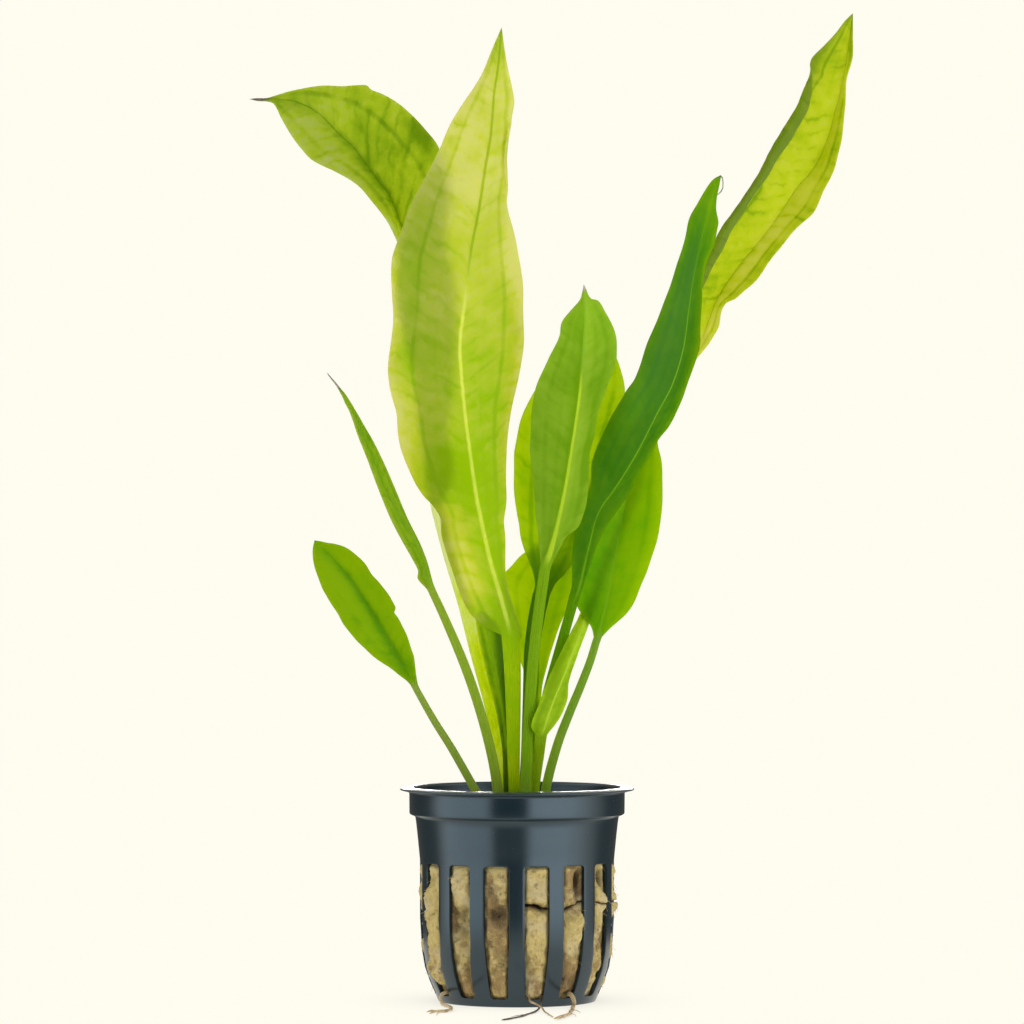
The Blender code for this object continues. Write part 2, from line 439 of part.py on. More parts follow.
def slot_outline():
    """A slot as wide as its share of the wall, with its top corners a little rounded."""
    top, bottom = SLOT_TOP_WIDTH / 2, SLOT_BOTTOM_WIDTH / 2
    return [
        (-bottom, SLOT_BOTTOM),
        (bottom, SLOT_BOTTOM),
        (top, SLOT_MIDDLE),
        (top, SLOT_TOP - SLOT_CORNER),
        (top - SLOT_CORNER, SLOT_TOP),
        (SLOT_CORNER - top, SLOT_TOP),
        (-top, SLOT_TOP - SLOT_CORNER),
        (-top, SLOT_MIDDLE),
    ]


def floor_hole_outline():
    """One opening of the pot's floor, seen from above, with Z of the outline along -Y."""
    inner, outer = FLOOR_HOLE_RADII
    half = math.pi / FLOOR_HOLES
    steps = FLOOR_HOLE_STEPS
    points = []
    for radius, order in ((outer, range(-steps, steps + 1)), (inner, range(steps, -steps - 1, -1))):
        reach = half - math.asin(FLOOR_RIB / 2 / radius)
        points += [
            (radius * math.sin(reach * k / steps), radius * math.cos(reach * k / steps))
            for k in order
        ]
    return points


def wall_profile():
    """The outside of the pot from the lip down to the foot."""
    edge = POT_HEIGHT - LIP_DROOP
    return [
        (LIP_RADIUS, edge),
        (LIP_RADIUS, edge - LIP_THICKNESS),
        (BAND_RADIUS, edge - LIP_THICKNESS - LIP_FALL),
        (BAND_RADIUS, BAND_BOTTOM),
        (WALL_TOP_RADIUS, BAND_BOTTOM - BAND_STEP),
        (WALL_RADIUS, SLOT_TOP + LEDGE),
        (WALL_RADIUS, WALL_STRAIGHT),
        *WALL_BELOW,
        (FOOT_RADIUS, 0),
    ]


def inside_profile():
    """The inside of the pot from its floor up to the mouth."""
    return [
        (0, FLOOR),
        *INSIDE_BELOW,
        (WALL_RADIUS - WALL, WALL_STRAIGHT),
        (WALL_RADIUS - WALL, SLOT_TOP + LEDGE),
        (WALL_TOP_RADIUS - WALL, BAND_BOTTOM - 1),
        (BAND_RADIUS - WALL, BAND_BOTTOM),
        (BAND_RADIUS - WALL, POT_HEIGHT),
    ]


def make_pot(parts, helpers):
    profile = wall_profile() + [(0, 0)] + inside_profile()
    pot = turned("net_pot", profile, POT_STEPS, parts, "pot_plastic")
    bm = bmesh.new()
    for k in range(SLOTS):
        angle = FIRST_SLOT_DEG + k * 360 / SLOTS
        out = Matrix.Translation((0, -CUTTER_REACH, 0))
        prism(bm, slot_outline(), CUTTER_DEPTH, turn_deg(angle) @ out)
    for k in range(FLOOR_HOLES):
        flat = Matrix.Rotation(math.radians(90), 4, "X") @ Matrix.Translation((0, -3 * FLOOR, 0))
        prism(bm, floor_hole_outline(), 6 * FLOOR, turn_deg(k * 360 / FLOOR_HOLES) @ flat)
    cutter = mesh_object("pot_openings", bm, helpers, smooth=False)
    cutter.display_type = "WIRE"
    boolean(pot, cutter, "DIFFERENCE")


def box_cutter(name, low, high, helpers):
    bm = bmesh.new()
    bmesh.ops.create_cube(bm, size=1)
    size = Vector(high) - Vector(low)
    middle = (Vector(high) + Vector(low)) / 2
    bmesh.ops.scale(bm, vec=size, verts=bm.verts)
    bmesh.ops.translate(bm, vec=middle, verts=bm.verts)
    bmesh.ops.rotate(bm, verts=bm.verts, matrix=Matrix.Rotation(math.radians(WOOL_SEAM_DEG), 3, "Z"))
    cutter = mesh_object(name, bm, helpers, smooth=False)
    cutter.display_type = "WIRE"
    return cutter


def make_wool(parts, helpers):
    """Four pieces cut from one plug that fills the pot, with a seat for the crown."""
    hole = CROWN_RADIUS + GAP
    seat = CROWN_BOTTOM - GAP
    side = WALL_RADIUS - WALL - GAP
    outside = [(radius - GAP, up) for radius, up in inside_profile() if FLOOR < up <= SLOT_TOP + LEDGE]
    profile = [
        (hole + WOOL_SEAT_FLARE, WOOL_TOP),
        *((side - across, WOOL_TOP - down) for across, down in WOOL_ROUNDING),
        *reversed(outside),
        (INSIDE_BELOW[0][0] - GAP, FLOOR + GAP),
        (0, FLOOR + GAP),
        (0, seat),
        (hole - WOOL_SEAT_TAPER, seat),
    ]
    far, half = WOOL_FAR, WOOL_SEAM / 2
    crack = (WOOL_CRACK - half, WOOL_CRACK + half)
    boxes = {
        "rock_wool_left": ((-far, -far, -far), (-half, WOOL_BACK, far * 2)),
        "rock_wool_upper_right": ((half, -far, crack[1]), (far, WOOL_BACK, far * 2)),
        "rock_wool_lower_right": ((half, -far, -far), (far, WOOL_BACK, crack[0])),
        "rock_wool_back": ((-far, WOOL_BACK + WOOL_SEAM, -far), (far, far, far * 2)),
    }
    for name, (low, high) in boxes.items():
        piece = turned(name, profile, WOOL_STEPS, parts, "rock_wool")
        boolean(piece, box_cutter(name + "_cut", low, high, helpers), "INTERSECT")


def make_crown(parts):
    """The short thick stem that the leaves grow from, seated in the wool."""
    bm = bmesh.new()
    bmesh.ops.create_uvsphere(bm, u_segments=16, v_segments=8, radius=1)
    for vert in bm.verts:
        x, y, z = vert.co
        taper = 1 - CROWN_TAPER * max(z, 0)
        ribs = 1 + CROWN_RIB_SWELL * math.sin(CROWN_RIBS * math.atan2(y, x))
        vert.co = (x * taper * ribs, y * taper * ribs, z)
    height = (CROWN_TOP - CROWN_BOTTOM) / 2
    radius = CROWN_RADIUS / (1 + CROWN_RIB_SWELL)
    bmesh.ops.scale(bm, vec=(radius, radius, height), verts=bm.verts)
    bmesh.ops.translate(bm, vec=(0, 0, CROWN_BOTTOM + height), verts=bm.verts)
    mesh_object("crown", bm, parts, "crown_tissue")


def make_root(name, spec, parts):
    """A round strand as a curve with filled ends."""
    curve = bpy.data.curves.new(name, "CURVE")
    curve.dimensions = "3D"
    curve.bevel_depth = spec["radius"] * MM
    curve.bevel_resolution = 1
    curve.use_fill_caps = True
    spline = curve.splines.new("POLY")
    route = curve_through(spec["route"])
    spline.points.add(ROOT_STEPS)
    for k in range(ROOT_STEPS + 1):
        spline.points[k].co = (*(route(k / ROOT_STEPS) * MM), 1)
    add_object(name, curve, parts, spec.get("finish", "root_pale"))


def curve_through(points):
    """A smooth curve through the points, as a function of 0 to 1 along it."""
    points = [Vector(p) for p in points]
    knots = [0.0]
    for a, b in zip(points, points[1:]):
        knots.append(knots[-1] + (b - a).length)
    knots = [k / knots[-1] for k in knots]
    last = len(points) - 1
    slopes = []
    for i in range(last + 1):
        before, after = max(i - 1, 0), min(i + 1, last)
        slopes.append((points[after] - points[before]) / (knots[after] - knots[before]))

    def at(t):
        i = max(k for k in range(last) if knots[k] <= t)
        span = knots[i + 1] - knots[i]
        s = (t - knots[i]) / span
        return (
            points[i] * (1 + 2 * s) * (1 - s) ** 2
            + points[i + 1] * s * s * (3 - 2 * s)
            + slopes[i] * span * s * (1 - s) ** 2
            - slopes[i + 1] * span * s * s * (1 - s)
        )

    return at


def placed(across, up, depth):
    """The point at this depth that the eye sees at (across, up) on the pot's axis plane."""
    grow = 1 + depth / EYE_DISTANCE
    return Vector((
        EYE_ACROSS + (across - EYE_ACROSS) * grow,
        depth,
        EYE_UP + (up - EYE_UP) * grow,
    ))


def direction(line, t):
    """The unit direction of a measured line at t."""
    ahead = placed(*line(min(t + TANGENT_STEP, 1)))
    behind = placed(*line(max(t - TANGENT_STEP, 0)))
    return (ahead - behind).normalized()


def section(left, middle, right, along, rib_half, halfway_half, halfway):
    """Eight points around a stalk or blade, from its left margin over the front and back again."""
    front = along.cross(right - left).normalized()
    if front.y > 0:
        front.negate()
    on_left = middle.lerp(left, halfway)
    on_right = middle.lerp(right, halfway)
    return [
        left,
        on_left + front * halfway_half,
        middle + front * rib_half,
        on_right + front * halfway_half,
        right,
        on_right - front * halfway_half,
        middle - front * rib_half,
        on_left - front * halfway_half,
    ]


def stalk_sections(spec):
    route = curve_through(spec["stalk"])
    low, high = spec["stalk_width"]
    made = []
    for k in range(STALK_STATIONS):
        t = k / STALK_STATIONS
        middle = placed(*route(t))
        along = direction(route, t)
        half = (low + (high - low) * t) / 2
        side = along.cross(Vector((0, 1, 0))).normalized() * half
        if side.x < 0:
            side.negate()
        thick = STALK_FLATNESS * (low + (STALK_END - low) * t)
        shoulder = thick * STALK_SHOULDER
        made.append(section(middle - side, middle, middle + side, along, thick, shoulder, STALK_SHOULDER))
    return made


def blade_sections(spec):
    rib = curve_through(spec["rib"])
    margins = [curve_through(spec[side]) for side in ("left", "right")]
    made = []
    for k in range(BLADE_STATIONS):
        t = k / BLADE_STATIONS
        middle = placed(*rib(t))
        along = direction(rib, t)
        edges = []
        for margin in margins:
            across, up, lift = margin(t)
            edges.append(placed(across, up, rib(t).z + lift))
        blend = max(0.0, 1 - t / BLADE_BLEND)
        rib_half = (BLADE_MIDRIB * (1 - BLADE_TIP_LOSS * t) + (BLEND_RIB - BLADE_MIDRIB) * blend) / 2
        halfway_half = (BLADE_HALFWAY + BLEND_HALFWAY * blend) / 2
        halfway = 0.5 + BLEND_SHIFT * blend
        made.append(section(edges[0], middle, edges[1], along, rib_half, halfway_half, halfway))
    return made, placed(*spec["rib"][-1])


def make_leaf(name, spec, parts):
    """One leaf: a round stalk that widens into a thin blade and closes at its tip."""
    sections = stalk_sections(spec)
    blade, tip = blade_sections(spec)
    bm = bmesh.new()
    rings = [[bm.verts.new(p) for p in ring] for ring in sections + blade]
    for ring, following in zip(rings, rings[1:]):
        for k in range(len(ring)):
            after = (k + 1) % len(ring)
            bm.faces.new((ring[k], ring[after], following[after], following[k]))
    bm.faces.new(rings[0])
    point = bm.verts.new(tip)
    for k in range(len(rings[-1])):
        bm.faces.new((rings[-1][k], rings[-1][(k + 1) % len(rings[-1])], point))
    mesh_object(name, bm, parts, spec.get("finish", "leaf_fresh"))


def main():
    clear_scene()
    parts = collection("potted_amazon_sword")
    helpers = collection("cutters", helper=True)
    make_pot(parts, helpers)
    make_wool(parts, helpers)
    make_crown(parts)
    for name, spec in ROOTS.items():
        make_root(name, spec, parts)
    for name, spec in LEAVES.items():
        make_leaf(name, spec, parts)


main()
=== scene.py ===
import math

import bmesh
import bpy
import numpy as np
from mathutils import Matrix, Vector, noise


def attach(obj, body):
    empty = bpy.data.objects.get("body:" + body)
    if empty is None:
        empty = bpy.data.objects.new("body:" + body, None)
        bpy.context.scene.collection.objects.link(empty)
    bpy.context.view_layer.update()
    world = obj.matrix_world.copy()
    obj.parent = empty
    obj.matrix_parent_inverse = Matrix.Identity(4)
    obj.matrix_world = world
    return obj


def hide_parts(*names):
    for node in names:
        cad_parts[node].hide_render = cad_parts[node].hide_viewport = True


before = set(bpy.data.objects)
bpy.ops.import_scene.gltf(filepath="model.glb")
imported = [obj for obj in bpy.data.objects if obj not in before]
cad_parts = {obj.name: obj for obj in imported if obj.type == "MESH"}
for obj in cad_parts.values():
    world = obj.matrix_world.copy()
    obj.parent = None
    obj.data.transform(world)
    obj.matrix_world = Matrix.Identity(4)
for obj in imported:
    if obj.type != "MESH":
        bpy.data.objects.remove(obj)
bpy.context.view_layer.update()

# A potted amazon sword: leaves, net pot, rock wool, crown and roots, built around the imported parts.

mm = 0.001

eye = dict(               # in mm, and the leaves' lines are measured from here too
    across=-1.2, up=117.2, distance=1300.0,
    frameWidth=245.76,    # how wide a strip the picture takes in at the pot's axis
    sensor=36.0,
    nearest=0.05, furthest=60.0,    # m, what the camera shows
)

studio = dict(
    cream=(1.0, 0.974, 0.871),
    # How bright it is in front between the panels, at the sides, behind (low and high) and above.
    frontLight=0.045, sideLight=0.22, hazeLight=0.10, backLight=0.72, topLight=0.9,
    # Where one turns into the next: in degrees away from the front, or by the upward part of the direction.
    sideTurn=(60, 100), behindTurn=(100, 130), backRise=(-0.02, 0.3), topRise=(0.55, 0.95),
    # The panels in front: from and to, in degrees to the right, each with its softness, and how bright.
    panels=[(-98, 14, -29, 5, 1.85), (13, 5, 84, 34, 2.5)],
    panelTint=(0.90, 1.0, 1.03),
    panelTop=(0.47, 0.62),    # upward parts of the direction between which the panels end
    contactReach=0.03,    # m, how far the pot darkens the floor
    contactShade=(0.80, 0.78, 0.71),
    contactOpen=(0.15, 0.95),    # how open the floor is where its shade starts and where it has gone
    floorHalf=8.0,
    floorGlow=(0.10, 0.16),      # m from the pot between which the floor stops lighting it
)

backLamp = dict(place=(0.0, 2.2, 0.16), size=0.32, power=24.0, tint=(1.0, 0.985, 0.93))


class Wire:               # a node's output that can stand in a sum
    def __init__(self, graph, socket):
        self.graph = graph
        self.socket = socket

    def maths(self, operation, *others):
        values = dict(enumerate((self, *others)))
        return self.graph.node("ShaderNodeMath", dict(operation=operation), values)

    def __add__(self, other):
        return self.maths("ADD", other)

    def __radd__(self, other):
        return self.maths("ADD", other)

    def __sub__(self, other):
        return self.maths("SUBTRACT", other)

    def __rsub__(self, other):
        return self.graph.node("ShaderNodeMath", dict(operation="SUBTRACT"), {0: other, 1: self})

    def __mul__(self, other):
        return self.maths("MULTIPLY", other)

    def __rmul__(self, other):
        return self.maths("MULTIPLY", other)

    def __truediv__(self, other):
        return self.maths("DIVIDE", other)

    def clamped(self):
        return self.graph.node("ShaderNodeClamp", {}, dict(Value=self))

    def ramp(self, low, high):      # 0 at low, 1 at high, and soft at both ends
        sockets = {"Value": self, "From Min": low, "From Max": high}
        return self.graph.node("ShaderNodeMapRange", dict(interpolation_type="SMOOTHSTEP"), sockets)

    def out(self, name):            # another output of the same node
        return Wire(self.graph, self.socket.node.outputs[name])


class Graph:              # a node tree, and the one way to add to it
    def __init__(self, tree):
        self.tree = tree
        tree.nodes.clear()

    def node(self, kind, settings, sockets, output=0):
        new = self.tree.nodes.new(kind)
        for key, value in settings.items():
            setattr(new, key, value)
        for key, value in sockets.items():
            if isinstance(value, Wire):
                self.tree.links.new(value.socket, new.inputs[key])
            else:
                new.inputs[key].default_value = value
        return Wire(self, new.outputs[output]) if len(new.outputs) else None

    def mixColour(self, share, first, second):
        settings = dict(data_type="RGBA", clamp_factor=True)
        colours = [c if isinstance(c, Wire) else (*c, 1.0) for c in (first, second)]
        return self.node("ShaderNodeMix", settings, {0: share, 6: colours[0], 7: colours[1]}, output=2)

    def noise(self, place, scale, detail=3.0, roughness=0.55, distortion=0.0):
        sockets = dict(Vector=place, Scale=scale, Detail=detail, Roughness=roughness, Distortion=distortion)
        return self.node("ShaderNodeTexNoise", {}, sockets)

    def place(self):                # the piece's own coordinates
        return self.node("ShaderNodeTexCoord", {}, {}, output="Object")

    def stretched(self, scale, rotation=(0.0, 0.0, 0.0)):      # for a noise that is longer along one axis
        sockets = dict(Vector=self.place(), Rotation=rotation, Scale=scale)
        return self.node("ShaderNodeMapping", {}, sockets)

    def attribute(self, name):
        return self.node("ShaderNodeAttribute", dict(attribute_name=name), {}, output="Fac")

    def combined(self, x=0.0, y=0.0, z=0.0):
        return self.node("ShaderNodeCombineXYZ", {}, dict(X=x, Y=y, Z=z))

    def bump(self, height, strength, distance):
        return self.node("ShaderNodeBump", {}, dict(Strength=strength, Distance=distance, Height=height))

    def body(self, colour, roughness, shine, bump, **others):
        sockets = {"Base Color": colour, "Roughness": roughness, "Specular IOR Level": shine, "Normal": bump}
        return self.node("ShaderNodeBsdfPrincipled", {}, {**sockets, **others})

    def seen(self):                 # 1 where the camera itself looks
        return self.node("ShaderNodeLightPath", {}, {}, output="Is Camera Ray")


def newMaterial(name):
    material = bpy.data.materials.new(name)
    material.use_nodes = True
    return material, Graph(material.node_tree)


def surface(graph, shader):
    graph.node("ShaderNodeOutputMaterial", {}, dict(Surface=shader))


def darker(colour, share):
    return tuple(c * share for c in colour)


def link(obj):
    bpy.context.scene.collection.objects.link(obj)
    return obj


def addCamera():
    data = bpy.data.cameras.new("eye")
    data.sensor_width = eye["sensor"]
    data.lens = eye["sensor"] * eye["distance"] / eye["frameWidth"]
    data.clip_start, data.clip_end = eye["nearest"], eye["furthest"]
    camera = link(bpy.data.objects.new("eye", data))
    camera.location = (eye["across"] * mm, -eye["distance"] * mm, eye["up"] * mm)
    camera.rotation_euler = (math.radians(90), 0, 0)
    bpy.context.scene.camera = camera


def lightStudio():
    s = studio
    world = bpy.data.worlds.new("studio")
    world.use_nodes = True
    bpy.context.scene.world = world
    g = Graph(world.node_tree)
    direction = g.node("ShaderNodeTexCoord", {}, {}, output="Generated")
    x = g.node("ShaderNodeSeparateXYZ", {}, dict(Vector=direction), output="X")
    y, z = x.out("Y"), x.out("Z")
    turn = g.node("ShaderNodeMath", dict(operation="ARCTAN2"), {0: x, 1: 0.0 - y}) * (180 / math.pi)
    aside = turn.maths("ABSOLUTE")
    level = aside.ramp(*s["sideTurn"]) * (s["sideLight"] - s["frontLight"]) + s["frontLight"]
    blue = 0.0
    for start, startSoft, end, endSoft, bright in s["panels"]:
        panel = turn.ramp(start - startSoft, start + startSoft)
        panel = panel * (1 - turn.ramp(end - endSoft, end + endSoft)) * (1 - z.ramp(*s["panelTop"]))
        level = panel * bright + level
        blue = panel + blue
    back = z.ramp(*s["backRise"]) * (s["backLight"] - s["hazeLight"]) + s["hazeLight"]
    behind = aside.ramp(*s["behindTurn"])
    level = level * (1 - behind) + back * behind
    above = z.ramp(*s["topRise"])
    level = level * (1 - above) + above * s["topLight"]
    tint = g.mixColour(blue.clamped(), s["cream"], s["panelTint"])
    lit = g.node("ShaderNodeBackground", {}, dict(Color=tint, Strength=level))
    shown = g.node("ShaderNodeBackground", {}, dict(Color=(*s["cream"], 1.0), Strength=1.0))
    both = g.node("ShaderNodeMixShader", {}, {0: g.seen(), 1: lit, 2: shown})
    g.node("ShaderNodeOutputWorld", {}, dict(Surface=both))


def hangLamp():                     # the bright patch behind the plant that shines through its leaves
    data = bpy.data.lights.new("backLamp", "AREA")
    data.shape = "SQUARE"
    data.size, data.energy, data.color = backLamp["size"], backLamp["power"], backLamp["tint"]
    lamp = link(bpy.data.objects.new("backLamp", data))
    lamp.location = backLamp["place"]
    aim = Vector((0, 0, eye["up"] * mm)) - lamp.location
    lamp.rotation_euler = aim.to_track_quat("-Z", "Y").to_euler()
    lamp.visible_camera = False


def layFloor():
    half = studio["floorHalf"]
    mesh = bpy.data.meshes.new("floor")
    corners = [(-half, -half, 0), (half, -half, 0), (half, half, 0), (-half, half, 0)]
    mesh.from_pydata(corners, [], [(0, 1, 2, 3)])
    floor = link(bpy.data.objects.new("floor", mesh))
    material, g = newMaterial("paleFloor")
    reach = dict(Distance=studio["contactReach"])
    clearance = g.node("ShaderNodeAmbientOcclusion", dict(samples=16), reach, output="AO")
    colour = g.mixColour(clearance.ramp(*studio["contactOpen"]), studio["contactShade"], studio["cream"])
    # Only the floor near the pot throws light; further out the surroundings do.
    x = g.node("ShaderNodeSeparateXYZ", {}, dict(Vector=g.place()), output="X")
    y = x.out("Y")
    near, end = studio["floorGlow"]
    far = (x * x + y * y).ramp(near ** 2, end ** 2)
    pale = g.node("ShaderNodeEmission", {}, dict(Color=colour, Strength=1.0))
    clear = g.node("ShaderNodeBsdfTransparent", {}, {})
    surface(g, g.node("ShaderNodeMixShader", {}, {0: far * (1 - g.seen()), 1: pale, 2: clear}))
    mesh.materials.append(material)


def setColours():
    scene = bpy.context.scene
    scene.view_settings.view_transform = "Standard"
    scene.view_settings.look = "None"
    scene.cycles.use_denoising = True


addCamera()
lightStudio()
hangLamp()
layFloor()
setColours()
print("studio ready")


def keep(piece, nodes):      # hands a finished piece to the frame
    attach(piece, "root")
    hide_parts(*nodes)
    print("made", piece.name, len(piece.data.polygons), "faces")


def lineThrough(points):               # a smooth line through points, read at shares of its length
    points = np.array(points, float)
    steps = np.linalg.norm(np.diff(points, axis=0), axis=1)
    knots = np.concatenate([[0.0], np.cumsum(steps)]) / steps.sum()
    last = len(points) - 1
    index = np.arange(last + 1)
    before, after = np.maximum(index - 1, 0), np.minimum(index + 1, last)
    slopes = (points[after] - points[before]) / (knots[after] - knots[before])[:, None]

    def at(share):
        share = np.clip(np.atleast_1d(np.asarray(share, float)), 0, 1)
        i = np.clip(np.searchsorted(knots, share, side="right") - 1, 0, last - 1)
        span = (knots[i + 1] - knots[i])[:, None]
        s = (share - knots[i])[:, None] / span
        return (
            points[i] * (1 + 2 * s) * (1 - s) ** 2
            + points[i + 1] * s * s * (3 - 2 * s)
            + slopes[i] * span * s * (1 - s) ** 2
            - slopes[i + 1] * span * s * s * (1 - s)
        )

    return at


def placed(line):                      # (across, up, depth) as the eye sees it, to x, y, z in mm
    grow = 1 + line[:, 2] / eye["distance"]
    across = eye["across"] + (line[:, 0] - eye["across"]) * grow
    up = eye["up"] + (line[:, 1] - eye["up"]) * grow
    return np.stack([across, line[:, 2], up], axis=1)


def unit(vectors):
    return vectors / np.maximum(np.linalg.norm(vectors, axis=-1, keepdims=True), 1e-9)


def step(low, high, value):            # soft step from 0 to 1
    s = np.clip((value - low) / (high - low), 0, 1)
    return s * s * (3 - 2 * s)


def ringFaces(count, size):             # over closed rows of points, then the foot's and the tip's point
    k = np.arange(size)
    after = (k + 1) % size
    row = (np.arange(count - 1) * size)[:, None]
    quads = np.stack([row + k, row + after, row + size + after, row + size + k], axis=-1).reshape(-1, 4)
    end, foot, tip = (count - 1) * size, np.full(size, count * size), np.full(size, count * size + 1)
    fans = [np.stack([foot, after, k], axis=-1), np.stack([end + k, end + after, tip], axis=-1)]
    return quads.tolist() + fans[0].tolist() + fans[1].tolist()


def meshOf(name, verts, faces):         # from points in mm
    mesh = bpy.data.meshes.new(name)
    mesh.from_pydata((np.asarray(verts) * mm).tolist(), [], faces)
    return mesh


def smoothed(mesh):
    mesh.polygons.foreach_set("use_smooth", [True] * len(mesh.polygons))
    return mesh


def storeValues(mesh, name, values):    # one number per point, for the finish to read
    layer = mesh.attributes.new(name, "FLOAT", "POINT")
    layer.data.foreach_set("value", np.asarray(values, np.float32))


def tube(points, radii, sides):         # a closed round strand as points and faces
    points = np.array(points, float)
    radii = np.array(radii, float)
    along = unit(np.gradient(points, axis=0))
    side = unit(np.cross(along, np.array([0.31, 0.22, 0.93])))
    other = np.cross(along, side)
    a = 2 * np.pi * np.arange(sides) / sides
    ring = np.cos(a)[None, :, None] * side[:, None] + np.sin(a)[None, :, None] * other[:, None]
    verts = (points[:, None] + ring * radii[:, None, None]).reshape(-1, 3)
    return np.concatenate([verts, points[:1], points[-1:]]), ringFaces(len(points), sides)


